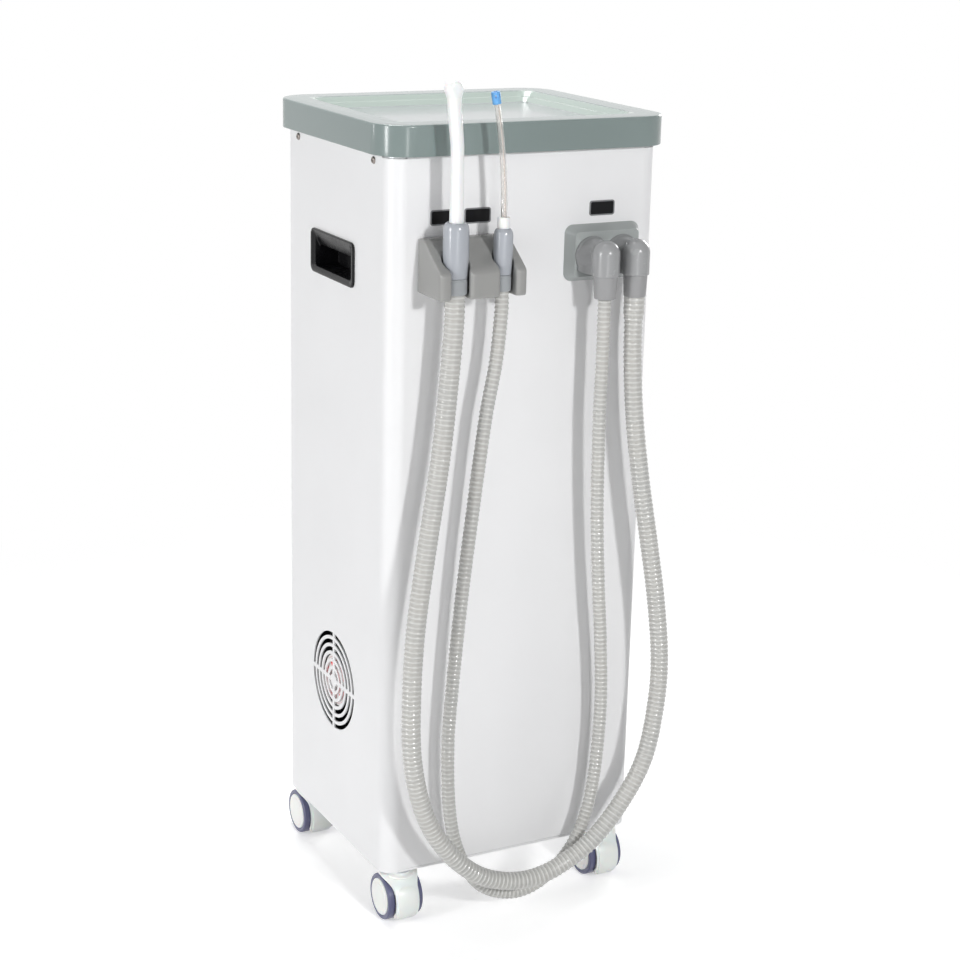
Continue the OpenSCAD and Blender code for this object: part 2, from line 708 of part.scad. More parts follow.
// The head's place: at the end of the bend, tilted a little further
module head_place() {
    translate([-tip_bend_r, 0, tip_bend_z]) rotate([0, -tip_bend, 0]) translate([tip_bend_r, 0, 0])
        rotate([0, -9, 0]) children();
}

// Body of the weak handset
module weak_handpiece() {
    color([0.7, 0.72, 0.76]) translate([weak_x, park_y, park_z])
        handset_body(weak_r, weak_len, 4.5 + run_fit, weak_socket, 3.4);
}

// Swivel of the weak handset
module weak_swivel() {
    color([0.65, 0.68, 0.71]) translate([weak_x, park_y, park_z]) handset_swivel(weak_r, 3.4);
}

// White socket that grips the saliva ejector
module weak_tip_socket() {
    color("white") translate([weak_x, park_y, park_z + weak_len]) difference() {
        union() {
            cylinder(r = 6.1, h = 11);
            translate([0, 0, -weak_socket]) cylinder(r = 4.5, h = weak_socket + 0.5);
        }
        translate([0, 0, -weak_socket - 1]) cylinder(r = ejector_r + run_fit, h = weak_socket + 13);
    }
}

// Clear tube of the saliva ejector, gently bent
module ejector_tube() {
    color([0.93, 0.9, 0.88]) translate([weak_x, park_y, ejector_z]) {
        translate([0, 0, -11]) pipe_leg(ejector_r, ejector_r - 0.8, 11);
        translate([-ejector_bend_r, 0, 0]) rotate([90, 0, 0]) rotate_extrude(angle = ejector_bend)
            translate([ejector_bend_r, 0]) annulus(ejector_r, ejector_r - 0.8);
    }
}

// Slotted cap on the ejector's end
module ejector_cap() {
    color([0.23, 0.55, 0.88]) translate([weak_x - ejector_bend_r, park_y, ejector_z])
        rotate([0, -ejector_bend, 0]) translate([ejector_bend_r, 0, 0]) difference() {
            union() {
                cylinder(r = cap_r, h = cap_len - 1.2);
                translate([0, 0, cap_len - 1.2]) cylinder(r1 = cap_r, r2 = cap_r - 1, h = 1.2);
            }
            translate([0, 0, -1]) cylinder(r = ejector_r - 0.9, h = cap_len + 2);
            for (a = [0 : 60 : 120]) rotate([0, 0, a]) translate([0, 0, cap_len - 5])
                cube([12, 1.2, 3], center = true);
        }
}

// Filter housing: drafted plate on the panel and the chambers behind it
module filter_housing() {
    color([0.62, 0.64, 0.64]) difference() {
        union() {
            translate([filter_x, front, port_z + 1]) rotate([90, 0, 0]) hull() {
                linear_extrude(1) round_rect(plate_w, plate_h, 9, $fn = 48);
                translate([0, 0, plate_t - 1]) linear_extrude(1)
                    round_rect(plate_w - 2 * plate_draft, plate_h - 2 * plate_draft, 5, $fn = 48);
            }
            translate([filter_x - chamber_w / 2, front - 1, port_z - chamber_h / 2])
                cube([chamber_w, chamber_back - front + 1, chamber_h]);
            translate([filter_pipe[0], filter_pipe[1], port_z - chamber_h / 2 - 18])
                cylinder(r = stub_r, h = 20);
        }
        for (x = [weak_port_x, strong_port_x]) translate([x, front - plate_t - 8, port_z])
            rotate([-90, 0, 0]) cylinder(r = port_r, h = port_back - front + plate_t + 8);
        translate([filter_pipe[0], filter_pipe[1] - 2, port_z]) rotate([0, 90, 0])
            cylinder(r = 7, h = 2 * port_gap, center = true);
        translate([filter_pipe[0], filter_pipe[1], port_z - chamber_h / 2 - 20])
            cylinder(r = stub_bore, h = chamber_h / 2 + 20);
    }
}

// Strainer baskets behind the two ports
module filter_strainers() {
    r = port_r - slip;
    color("lightgray") for (x = [weak_port_x, strong_port_x])
        translate([x, front + 1, port_z]) rotate([-90, 0, 0]) difference() {
            cylinder(r = r, h = strainer_l);
            translate([0, 0, -1]) cylinder(r = r - 1.3, h = strainer_l - 0.3);
            for (a = [0 : 30 : 330]) rotate([0, 0, a]) translate([r - 3, -1.6, 5])
                cube([5, 3.2, strainer_l - 10]);
        }
}

// One elbow: a round flange on the plate, drawn into a domed downward outlet.
// The flange is cut flat on the side where its neighbour sits.
module elbow(neighbour) {
    reach = elbow_reach - plate_t;
    bore = 9;
    difference() {
        union() {
            intersection() {
                union() {
                    rotate([90, 0, 0]) cylinder(r = flange_r, h = 3);
                    intersection() {
                        hull() {
                            translate([0, -0.5, 0]) rotate([90, 0, 0])
                                cylinder(r = flange_r - 0.5, h = 2.5, $fn = 48);
                            translate([0, -reach, -elbow_drop]) cylinder(r = elbow_r, h = 12, $fn = 40);
                            translate([0, -reach, flange_r - elbow_r]) sphere(r = elbow_r, $fn = 40);
                        }
                        translate([-50, -90, -elbow_drop]) cube([100, 100, 60]);
                    }
                }
                translate([neighbour > 0 ? -60 + port_gap - free / 2 : -port_gap + free / 2, -90, -60])
                    cube([60, 100, 120]);
            }
            rotate([-90, 0, 0]) cylinder(r = port_r - run_fit, h = plate_t - 2);
        }
        rotate([90, 0, 0]) translate([0, 0, -plate_t]) cylinder(r = bore, h = plate_t + reach);
        translate([0, -reach, -elbow_drop - 1]) cylinder(r = bore, h = elbow_drop + 1);
        translate([0, -reach, 0]) sphere(r = bore);
    }
}

// Elbow of the strong hose, on the right
module strong_elbow() {
    color([0.65, 0.66, 0.66]) translate([strong_port_x, front - plate_t, port_z]) elbow(-1);
}

// Elbow of the weak hose, on the left
module weak_elbow() {
    color([0.65, 0.66, 0.66]) translate([weak_port_x, front - plate_t, port_z]) elbow(1);
}

// A hose's end cuff, narrowing downwards
module hose_cuff(foot_r, bore) {
    top_r = elbow_r - 1.2;
    rotate_extrude() polygon([[bore, 0], [foot_r - 0.8, 0], [foot_r, 1], [top_r, cuff_len - 2],
        [top_r, cuff_len], [bore, cuff_len]]);
}

// Cuff of the strong hose
module strong_hose_cuff() {
    color([0.63, 0.63, 0.64]) translate([strong_port_x, elbow_y, cuff_base])
        hose_cuff(strong_hose_r + 1.8, strong_hose_r - hose_wall);
}

// Cuff of the weak hose
module weak_hose_cuff() {
    color([0.63, 0.63, 0.64]) translate([weak_port_x, elbow_y, cuff_base])
        hose_cuff(weak_hose_r + 3.3, weak_hose_r - hose_wall);
}

// A smooth curve through the route's points: the point at share t of leg i
function spline(p, i, t) =
    let (n = len(p) - 1, a = p[max(i - 1, 0)], b = p[i], c = p[min(i + 1, n)], d = p[min(i + 2, n)])
    0.5 * (2 * b + (c - a) * t + (2 * a - 5 * b + 4 * c - d) * t * t + (3 * b - a - 3 * c + d) * t * t * t);
// The route as close points, its first and last legs kept straight
function fine_route(p) = let (n = len(p) - 1) concat([p[0]],
    [for (i = [1 : n - 2], k = [0 : 7]) spline(p, i, k / 8)], [p[n - 1], p[n]]);
// Running length up to each point
function run_lengths(q, i = 0, s = 0) =
    i >= len(q) - 1 ? [s] : concat([s], run_lengths(q, i + 1, s + norm(q[i + 1] - q[i])));
// The point at a running length
function at_length(q, s, u) =
    [for (k = [0 : 2]) lookup(u, [for (i = [0 : len(q) - 1]) [s[i], q[i][k]]])];
// One ring of points round the route at a running length
function ring(q, s, u, r, sides) = let (
    total = s[len(s) - 1],
    ahead = at_length(q, s, min(u + 2, total)) - at_length(q, s, max(u - 2, 0)),
    t = ahead / norm(ahead), n = cross([0, 1, 0], t) / norm(cross([0, 1, 0], t)), b = cross(t, n),
    c = at_length(q, s, u))
    [for (k = [0 : sides - 1]) let (a = 360 * (k + 0.5) / sides) c + r * (cos(a) * n + sin(a) * b)];

// Marks along the fine route for the bore's rings: closer together where the route bends
function bore_marks(p) = let (n = len(p) - 1) concat([0],
    [for (i = [1 : n - 2]) let (
        a = p[i] - p[i - 1], b = p[min(i + 2, n)] - p[i + 1],
        turn = acos(max(-1, min(1, a * b / (norm(a) * norm(b))))),
        step = turn > 48 ? 2 : turn > 9 ? 4 : 8)
        each [for (k = [0 : step : 7]) 1 + 8 * (i - 1) + k]],
    [1 + 8 * (n - 2), 2 + 8 * (n - 2)]);

// A hose of triangles along a route: ribs outside, a plain bore inside, plain ends
module ribbed_hose(route, r, ribs) {
    sides = 8;
    q = fine_route(route);
    s = run_lengths(q);
    total = s[len(s) - 1];
    lead = 2 * r;
    pitch = (total - 2 * lead) / ribs;
    outer = concat([[0, r], [lead, r]],
        [for (k = [0 : ribs - 1]) each [[lead + (k + 0.5) * pitch, r - groove],
            [lead + (k + 1) * pitch, r]]],
        [[total, r]]);
    marks = bore_marks(route);
    inner = [for (k = [len(marks) - 1 : -1 : 0]) [s[marks[k]], r - hose_wall]];
    rows = concat(outer, inner);
    points = [for (row = rows) each ring(q, s, row[0], row[1], sides)];
    n = len(rows);
    faces = [for (i = [0 : n - 1], k = [0 : sides - 1]) let (
        a = i * sides + k, b = i * sides + (k + 1) % sides,
        c = ((i + 1) % n) * sides + (k + 1) % sides, d = ((i + 1) % n) * sides + k)
        each [[a, b, c], [a, c, d]]];
    echo(length = total, rib_pitch = pitch, triangles = len(faces));
    polyhedron(points, faces, convexity = 8);
}

// Strong hose
module strong_hose() {
    color([0.75, 0.73, 0.72]) ribbed_hose(STRONG_ROUTE, strong_hose_r, STRONG_RIBS);
}

// Weak hose
module weak_hose() {
    color([0.75, 0.73, 0.72]) ribbed_hose(WEAK_ROUTE, weak_hose_r, WEAK_RIBS);
}

// Pump housing: a drum on a foot, with its inlet and outlet stubs on top
module pump_housing() {
    stub_z = pump_z + pump_r - 35;
    color([0.72, 0.74, 0.76]) difference() {
        union() {
            translate([pump_x, pump_y, pump_z]) rotate([-90, 0, 0]) cylinder(r = pump_r, h = pump_l);
            translate([pump_x - 55, pump_y + 6, pan_top]) cube([110, pump_l - 12, pump_z - pan_top - 40]);
            for (p = [pump_in, pump_out]) translate([p[0], p[1], stub_z]) cylinder(r = stub_r, h = 56);
        }
        translate([pump_x, pump_y + 6, pump_z]) rotate([-90, 0, 0])
            cylinder(r = pump_r - 7, h = pump_l - 12);
        translate([pump_x, pump_back - 10, pump_z]) rotate([-90, 0, 0])
            cylinder(r = shaft_r + run_fit, h = 12);
        for (p = [pump_in, pump_out]) translate([p[0], p[1], stub_z]) cylinder(r = stub_bore, h = 60);
    }
}

// Impeller with its shaft, turning inside the drum
module pump_impeller() {
    r = pump_r - 9;
    color("silver") translate([pump_x, pump_y + 12, pump_z]) rotate([-90, 0, 0]) {
        cylinder(r = r, h = 6);
        cylinder(r = 18, h = 26);
        for (a = [0 : 30 : 330]) rotate([0, 0, a]) translate([16, -1.5, 5]) cube([r - 17, 3, 18]);
        cylinder(r = shaft_r, h = pump_l - 12 + 22);
    }
}

// Motor behind the drum, with cooling fins, a terminal box and its own foot
module pump_motor() {
    color([0.32, 0.36, 0.42]) translate([pump_x, pump_back, pump_z]) rotate([-90, 0, 0]) difference() {
        union() {
            cylinder(r = motor_r - 4, h = motor_l);
            for (a = [0 : 15 : 345]) rotate([0, 0, a]) translate([motor_r - 6, -1.2, 4])
                cube([6, 2.4, motor_l - 8]);
            cylinder(r = motor_r, h = 8);
            translate([0, 0, motor_l - 12]) cylinder(r = motor_r, h = 12);
            translate([-40, motor_r - 22, 12]) cube([80, pump_z - pan_top - motor_r + 22, motor_l - 28]);
            translate([-22, -motor_r - 14, 30]) cube([44, 24, 50]);
        }
        translate([0, 0, -1]) cylinder(r = shaft_r + run_fit, h = 30);
    }
}

// Space that the tank leaves round the caster nuts, where it reaches them
module nut_space(gap) {
    for (y = [-1, 1]) translate([stem_x, cab_y + y * stem_y, cab_base])
        cylinder(r = nut_r + gap, h = stem_top + gap - cab_base);
}

// Waste tank: an open box on the base pan with a drain stub low at the back
module waste_tank() {
    nut_gap = 1.5;
    color([0.86, 0.88, 0.88]) difference() {
        union() {
            translate([tank_x, tank_y, pan_top]) linear_extrude(tank_h) round_rect(tank_w, tank_d, 10);
            translate([tank_x, tank_back - 2, drain_z]) rotate([-90, 0, 0])
                cylinder(r = stub_r, h = drain_stub_l + 2);
        }
        difference() {
            translate([tank_x, tank_y, pan_top + tank_wall]) linear_extrude(tank_h)
                round_rect(tank_w - 2 * tank_wall, tank_d - 2 * tank_wall, 10 - tank_wall);
            nut_space(nut_gap + tank_wall);
        }
        nut_space(nut_gap);
        translate([tank_x, tank_back - tank_wall - 3, drain_z]) rotate([-90, 0, 0])
            cylinder(r = stub_bore, h = tank_wall + drain_stub_l + 6);
    }
}

// Tank lid with its two stubs and the rod that guides the float
module tank_lid() {
    gap = tank_wall + slip;
    color([0.35, 0.37, 0.4]) difference() {
        union() {
            translate([tank_x, tank_y, lid_z]) linear_extrude(lid_t) round_rect(tank_w, tank_d, 10);
            translate([tank_x, tank_y, lid_z - 6]) linear_extrude(7)
                round_frame(tank_w - 2 * gap, tank_d - 2 * gap, 10 - gap, 3);
            for (p = [filter_pipe, pump_pipe]) translate([p[0], p[1], lid_z])
                cylinder(r = stub_r, h = lid_stub_l);
            translate([tank_x, float_y, lid_z - rod_l]) cylinder(r = rod_r, h = rod_l + 1);
            translate([tank_x, float_y, lid_z - rod_l]) cylinder(r = 2 * rod_r, h = rod_r);
        }
        for (p = [filter_pipe, pump_pipe]) translate([p[0], p[1], lid_z - 8])
            cylinder(r = stub_bore, h = lid_stub_l + 18);
    }
}

// Float that rises on the rod and shuts the pump off
module tank_float() {
    color([0.9, 0.55, 0.2]) translate([tank_x, float_y, lid_z - rod_l + rod_r]) difference() {
        cylinder(r = 18, h = 30);
        translate([0, 0, -1]) cylinder(r = rod_r + run_fit, h = 32);
    }
}

// Pipes between the filter, tank, pump and spigots, pushed over the stubs
module suction_pipes() {
    r = stub_r + 3;
    bore = stub_r + slip;
    turn_r = 30;
    lid_pipe_z = lid_z + lid_t + 1;
    arch = pump_in - pump_pipe;
    arch_top = lid_pipe_z + 56;
    color([0.45, 0.47, 0.5]) {
        // Filter to tank
        translate([filter_pipe[0], filter_pipe[1], lid_pipe_z])
            pipe_leg(r, bore, port_z - chamber_h / 2 - 2 - lid_pipe_z);
        // Tank to pump: up, across and down
        translate([pump_pipe[0], pump_pipe[1], 0]) rotate([0, 0, atan2(arch[1], arch[0])]) {
            translate([0, 0, lid_pipe_z]) pipe_leg(r, bore, arch_top - turn_r - lid_pipe_z);
            translate([0, 0, arch_top - turn_r]) pipe_bend(r, bore, turn_r);
            translate([turn_r, 0, arch_top]) rotate([0, 90, 0]) pipe_leg(r, bore, norm(arch) - 2 * turn_r);
            translate([norm(arch), 0, arch_top - turn_r]) mirror([1, 0, 0]) pipe_bend(r, bore, turn_r);
            translate([norm(arch), 0, pipe_z]) pipe_leg(r, bore, arch_top - turn_r - pipe_z);
        }
        // Pump to exhaust: up and back
        translate([pump_out[0], pump_out[1], 0]) rotate([0, 0, 90]) {
            translate([0, 0, pipe_z]) pipe_leg(r, bore, exhaust_z - turn_r - pipe_z);
            translate([0, 0, exhaust_z - turn_r]) pipe_bend(r, bore, turn_r);
            translate([turn_r, 0, exhaust_z]) rotate([0, 90, 0])
                pipe_leg(r, bore, back - 3 - pump_out[1] - turn_r);
        }
        // Tank to drain
        translate([tank_x, tank_back + 1, drain_z]) rotate([-90, 0, 0])
            pipe_leg(r, bore, back - 3 - tank_back - 1);
    }
}

// A spigot through the rear panel: inner stub, flange and outer tube
module spigot(r) {
    rotate([-90, 0, 0]) difference() {
        union() {
            translate([0, 0, -17]) cylinder(r = stub_r, h = 18);
            cylinder(r = max(r, stub_r) + 7, h = flange_t);
            cylinder(r = r, h = flange_t + spigot_l);
        }
        translate([0, 0, -18]) cylinder(r = r - 3, h = spigot_l + 22);
    }
}

// Exhaust spigot
module exhaust_spigot() {
    color([0.25, 0.26, 0.28]) translate([pump_out[0], back + sheet, exhaust_z]) spigot(exhaust_r);
}

// Drain spigot
module drain_spigot() {
    color([0.25, 0.26, 0.28]) translate([tank_x, back + sheet, drain_z]) spigot(drain_r);
}

// Control board on four posts behind the rear panel
module control_board() {
    color([0.12, 0.4, 0.25]) translate([board_x, 0, board_z]) {
        face = back - board_gap - board_t;
        translate([-board_w / 2, face, -board_h / 2]) cube([board_w, board_t, board_h]);
        for (x = [-1, 1], z = [-1, 1]) translate([x * (board_w / 2 - 7), face + 1, z * (board_h / 2 - 7)])
            rotate([-90, 0, 0]) cylinder(r = 3, h = board_gap + board_t - 1);
        translate([-board_w / 3, face + 1 - transformer[1], -transformer[2] / 2 - 5]) cube(transformer);
        translate([0, face + 1 - relay[1], -1.5 * relay[2] - 3]) cube(relay);
        translate([2 * capacitor_r, face + 1, capacitor_r + 8]) rotate([90, 0, 0])
            cylinder(r = capacitor_r, h = capacitor_l);
    }
}

// The four stems with their collars and nuts
module caster_stems() {
    color([0.2, 0.2, 0.21]) for (x = [-1, 1], y = [-1, 1]) translate([x * stem_x, cab_y + y * stem_y, 0]) {
        translate([0, 0, stem_z]) cylinder(r = stem_r, h = stem_top - stem_z);
        translate([0, 0, hood_top + free]) cylinder(r = 12, h = cab_base - hood_top - free);
        translate([0, 0, pan_top]) cylinder(r = nut_r, h = 7, $fn = 6);
    }
}

// A caster's hood: the web between the wheels, the stem's sleeve and the front shield
module caster_hood() {
    difference() {
        union() {
            translate([-web_w / 2, trail, wheel_r]) rotate([90, 0, 90]) linear_extrude(web_w) {
                circle(wheel_r - 4);
                shield(0);
            }
            translate([-hood_w / 2, trail, wheel_r]) rotate([90, 0, 90]) linear_extrude(hood_w)
                shield(hood_in);
            translate([0, 0, wheel_r + 7]) cylinder(r = web_w / 2, h = hood_top - wheel_r - 7);
            translate([0, 0, wheel_r + hood_out - 1.5])
                cylinder(r = 9.5, h = hood_top - wheel_r - hood_out + 1.5);
        }
        translate([0, 0, stem_z - 1]) cylinder(r = stem_r + run_fit, h = hood_top);
        translate([-30, trail, wheel_r]) rotate([0, 90, 0]) cylinder(r = axle_r + run_fit, h = 60);
    }
}

// The shield's side view: a sector round the axle, from low at the front to just past the top
module shield(inner) {
    low = 200;
    high = 82;
    polygon(concat(arc([0, 0], hood_out, low, high, 14),
        inner > 0 ? arc([0, 0], inner, high, low, 14) : [[0, 0]]));
}

// One wheel facing +X: a hub with a domed cap, inside a round-shouldered tread
module caster_wheel() {
    in_r = 3.2;
    out_r = 4.6;
    rotate([0, 90, 0]) rotate_extrude() polygon(concat(
        [[axle_r + run_fit, 0]], arc([wheel_r - in_r, in_r], in_r, -90, 0, 5),
        arc([wheel_r - out_r, wheel_w - out_r], out_r, 0, 80, 6),
        [[wheel_r - 6.4, wheel_w], [wheel_r - 8, wheel_w + 0.5], [10, wheel_w + 1.1], [0, wheel_w + 1.3],
        [0, wheel_w - 3], [axle_r + run_fit, wheel_w - 3]]));
}

// Where a caster's stem stands
function caster_at(x, y) = [x * stem_x, cab_y + y * stem_y, 0];

module hood_at(x, y) {
    color([0.95, 0.95, 0.92]) translate(caster_at(x, y)) caster_hood();
}

module wheel_at(x, y, s) {
    color([0.5, 0.51, 0.6]) translate(caster_at(x, y) + [s * wheel_in, trail, wheel_r])
        mirror([s < 0 ? 1 : 0, 0, 0]) caster_wheel();
}

module axle_at(x, y) {
    reach = wheel_in + wheel_w - 3 - free;
    color("silver") translate(caster_at(x, y) + [-reach, trail, wheel_r])
        rotate([0, 90, 0]) cylinder(r = axle_r, h = 2 * reach);
}

module caster_hood_fl() { hood_at(-1, -1); }
module caster_hood_fr() { hood_at(1, -1); }
module caster_hood_rl() { hood_at(-1, 1); }
module caster_hood_rr() { hood_at(1, 1); }
module wheel_fl_left() { wheel_at(-1, -1, -1); }
module wheel_fl_right() { wheel_at(-1, -1, 1); }
module wheel_fr_left() { wheel_at(1, -1, -1); }
module wheel_fr_right() { wheel_at(1, -1, 1); }
module wheel_rl_left() { wheel_at(-1, 1, -1); }
module wheel_rl_right() { wheel_at(-1, 1, 1); }
module wheel_rr_left() { wheel_at(1, 1, -1); }
module wheel_rr_right() { wheel_at(1, 1, 1); }
module caster_axle_fl() { axle_at(-1, -1); }
module caster_axle_fr() { axle_at(1, -1); }
module caster_axle_rl() { axle_at(-1, 1); }
module caster_axle_rr() { axle_at(1, 1); }

base_pan();
cabinet_shell();
rear_panel();
top_frame();
tray_top();

carry_handle_left();
carry_handle_right();
fan_frame();
fan_rotor();
power_inlet();
power_switch();
label_plates();
panel_screws();
holder_bracket();
strong_handpiece();
strong_swivel();
strong_tip();
weak_handpiece();
weak_swivel();
weak_tip_socket();
ejector_tube();
ejector_cap();
filter_housing();
filter_strainers();
strong_elbow();
weak_elbow();
strong_hose_cuff();
weak_hose_cuff();
strong_hose();
weak_hose();
pump_housing();
pump_impeller();
pump_motor();
waste_tank();
tank_lid();
tank_float();
suction_pipes();
exhaust_spigot();
drain_spigot();
control_board();
caster_stems();
caster_hood_fl();
caster_hood_fr();
caster_hood_rl();
caster_hood_rr();
wheel_fl_left();
wheel_fl_right();
wheel_fr_left();
wheel_fr_right();
wheel_rl_left();
wheel_rl_right();
wheel_rr_left();
wheel_rr_right();
caster_axle_fl();
caster_axle_fr();
caster_axle_rl();
caster_axle_rr();
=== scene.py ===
import math

import bmesh
import bpy
from mathutils import Matrix, Vector


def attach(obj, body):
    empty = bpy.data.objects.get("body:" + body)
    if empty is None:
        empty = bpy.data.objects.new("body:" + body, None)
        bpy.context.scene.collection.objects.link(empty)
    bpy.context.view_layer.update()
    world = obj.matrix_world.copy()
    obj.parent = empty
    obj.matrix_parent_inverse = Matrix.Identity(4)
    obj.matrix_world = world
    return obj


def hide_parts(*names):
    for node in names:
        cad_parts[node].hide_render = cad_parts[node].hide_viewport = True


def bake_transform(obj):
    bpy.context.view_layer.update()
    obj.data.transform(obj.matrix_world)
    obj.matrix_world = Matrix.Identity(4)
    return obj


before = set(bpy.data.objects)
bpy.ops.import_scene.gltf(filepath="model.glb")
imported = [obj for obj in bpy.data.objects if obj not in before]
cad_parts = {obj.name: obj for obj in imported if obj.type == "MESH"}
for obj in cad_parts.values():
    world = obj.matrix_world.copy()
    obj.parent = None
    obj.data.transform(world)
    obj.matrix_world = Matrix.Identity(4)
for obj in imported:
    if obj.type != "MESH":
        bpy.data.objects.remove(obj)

bl_info = {
    "name": "Portable suction unit",
    "version": (1, 0, 0),
    "blender": (4, 5, 0),
    "location": "3D View > Sidebar > Suction unit",
    "description": "Dresses the packed suction unit: cabinet, tray, handsets, hoses and casters",
    "category": "Object",
}

MM = 0.001

# Where the strong hose runs, in millimetres, from its handset round to its elbow
STRONG_ROUTE = [
    (-97.5, -151, 684), (-97.5, -151, 662), (-102, -151, 600), (-111, -153, 521),
    (-127, -156, 422), (-138, -159, 348), (-143, -162, 277), (-141, -163, 208),
    (-126, -163, 147), (-100, -163, 102), (-66, -163, 69), (-30, -163, 53),
    (6, -163, 50), (41, -163, 60), (77, -163, 82), (111, -163, 120),
    (135, -163, 163), (146, -163, 218), (149, -162, 272), (142, -161, 338),
    (131, -159, 404), (119, -157, 470), (109, -155, 539), (104, -154, 600),
    (102.5, -154.2, 646), (102.5, -154.2, 668),
]
WEAK_ROUTE = [
    (-46.5, -151, 684), (-46.5, -151, 666), (-51, -151, 615), (-61, -150, 555),
    (-72, -147, 453), (-80, -144, 368), (-87, -141, 270), (-90, -140, 205),
    (-86, -140, 130), (-73, -140, 80), (-49, -140, 42), (-14, -140, 25),
    (19, -140, 28), (50, -140, 50), (73, -140, 84), (86, -140, 135),
    (91, -141, 215), (87, -143, 290), (79, -146, 365), (72, -149, 450),
    (68, -153, 543), (68, -154, 605), (67.9, -154.2, 650), (67.9, -154.2, 668),
]

# Middle of the cabinet, its faces and the places of its main pieces, in millimetres
CABINET_Y = 16
FRONT, BACK, SIDE = -114, 147.5, 150
STRONG_X, WEAK_X, PARK_Y, PARK_Z = -97.5, -46.5, -151, 684
STRONG_PORT, WEAK_PORT, PORT_Z = 102.5, 67.9, 707
ELBOW_Y, CUFF_Z = -154.2, 668
TRAY_WIDE, TRAY_DEEP, TRAY_CORNER = 320, 280, 35
TRAY_TOP, TRAY_FLOOR, TRAY_FOOT = 842, 831, 812
RECESS_WIDE, RECESS_DEEP, RECESS_CORNER = 262, 222, 18
LABEL_Z, HANDLE_Y, HANDLE_Z, FAN_X, FAN_Z = 751.7, CABINET_Y + 3.5, 693.5, -148.5, 234
STEMS = {"fl": (-122.5, -98), "fr": (122.5, -98), "rl": (-122.5, 130), "rr": (122.5, 130)}


def linear(r, g, b):
    """A colour written as screen values from 0 to 255, as Blender's own numbers."""
    return tuple((v / 255 / 12.92) if v < 10.3 else ((v / 255 + 0.055) / 1.055) ** 2.4 for v in (r, g, b))


def length(name, text, millimetres, low=0.0, high=100.0):
    """A size in the sidebar."""
    return bpy.props.FloatProperty(name=name, description=text, default=millimetres * MM, min=low * MM,
                                   max=high * MM, precision=4, subtype="DISTANCE", unit="LENGTH")


def shade(name, text, r, g, b):
    """A colour in the sidebar."""
    return bpy.props.FloatVectorProperty(name=name, description=text, default=linear(r, g, b), min=0, max=1,
                                         size=3, subtype="COLOR")


class SuctionSizes(bpy.types.PropertyGroup):
    """Sizes of the details that the plain solids leave out"""
    rib_pitch: length("Rib pitch", "Distance from one hose rib to the next", 5.0, 2, 15)
    rib_width: length("Rib width", "Width of one raised hose rib", 2.3, 0.5, 6)
    rib_depth: length("Rib depth", "Height of a rib over the hose's valleys", 0.75, 0.1, 3)
    hose_sides: bpy.props.IntProperty(name="Hose sides", description="Points round a hose", default=22,
                                      min=8, max=48)
    holder_round: length("Holder edges", "Rounding of the handset holder's edges", 2.8, 0.2, 3)
    plate_round: length("Plate edges", "Rounding of the filter plate's edges", 1.4, 0.2, 3)
    trim_round: length("Trim edges", "Rounding of small moulded pieces", 0.6, 0.1, 2)
    screw_cross: length("Screw cross", "Width of the cross recess in a screw's head", 1.0, 0.3, 2)
    blade_thick: length("Blade", "Thickness of a fan blade", 1.6, 0.6, 3)
    hub_disc: length("Hub disc", "Radius of the pale disc in a wheel", 19.8, 12, 21)


class SuctionColours(bpy.types.PropertyGroup):
    """Colours of the finishes"""
    sheet: shade("Sheet", "Powder coat on the cabinet", 243, 243, 244)
    tray: shade("Tray", "Grey-green plastic of the tray", 126, 140, 138)
    # Painted reflection: the recess's sides and floor take paler colours than the tray, standing in for the
    # white surround mirrored in them
    recess: shade("Recess", "Pale sides of the tray's recess", 182, 195, 188)
    recess_floor: shade("Recess floor", "Floor of the tray's recess", 172, 177, 178)
    holder: shade("Holder", "Warm grey of the handset holder", 154, 154, 152)
    handset: shade("Handset", "Cool grey of the handset bodies", 174, 178, 185)
    swivel: shade("Swivel", "Darker grey of the swivels", 164, 168, 171)
    tip: shade("Tip", "White of the suction tip", 250, 250, 250)
    ejector: shade("Ejector", "Tint of the clear ejector tube", 250, 248, 246)
    cap: shade("Cap", "Blue of the ejector's cap", 114, 190, 255)
    filter: shade("Filter", "Grey of the filter plate", 168, 173, 172)
    elbow: shade("Elbow", "Grey of the elbows", 156, 157, 158)
    cuff: shade("Cuff", "Grey of the hose cuffs", 154, 154, 155)
    hose: shade("Hose", "Warm grey of the hoses", 200, 200, 197)
    tread: shade("Tread", "Blue-grey of the wheel treads", 92, 94, 126)
    hub: shade("Hub", "Cream of the wheel hubs and hoods", 250, 251, 247)
    black: shade("Black", "Black plastic of the handles and labels", 17, 17, 19)
    label_rim: shade("Label rim", "Rim of a label plate", 122, 123, 125)


def sizes():
    return bpy.context.scene.suction_sizes


def colours():
    return bpy.context.scene.suction_colours


# Meshes

def piece(name, points, faces, place=None):
    """A new mesh object from points in millimetres."""
    if place is not None:
        points = [place @ Vector(p) for p in points]
    mesh = bpy.data.meshes.new(name)
    mesh.from_pydata([(p[0] * MM, p[1] * MM, p[2] * MM) for p in points], [], faces)
    mesh.update()
    obj = bpy.data.objects.new(name, mesh)
    bpy.context.scene.collection.objects.link(obj)
    return obj


def smooth(obj, sharp=38.0):
    """Merges doubles, turns the faces outwards and shades the surface smooth between its sharp edges."""
    bm = bmesh.new()
    bm.from_mesh(obj.data)
    bmesh.ops.remove_doubles(bm, verts=bm.verts, dist=1e-6)
    bmesh.ops.recalc_face_normals(bm, faces=bm.faces)
    bm.to_mesh(obj.data)
    bm.free()
    obj.data.shade_smooth()
    obj.data.set_sharp_from_angle(angle=math.radians(sharp))
    return obj


def evaluated(obj):
    """A new mesh of what an object's modifiers make."""
    bpy.context.view_layer.update()
    graph = bpy.context.evaluated_depsgraph_get()
    return bpy.data.meshes.new_from_object(obj.evaluated_get(graph))


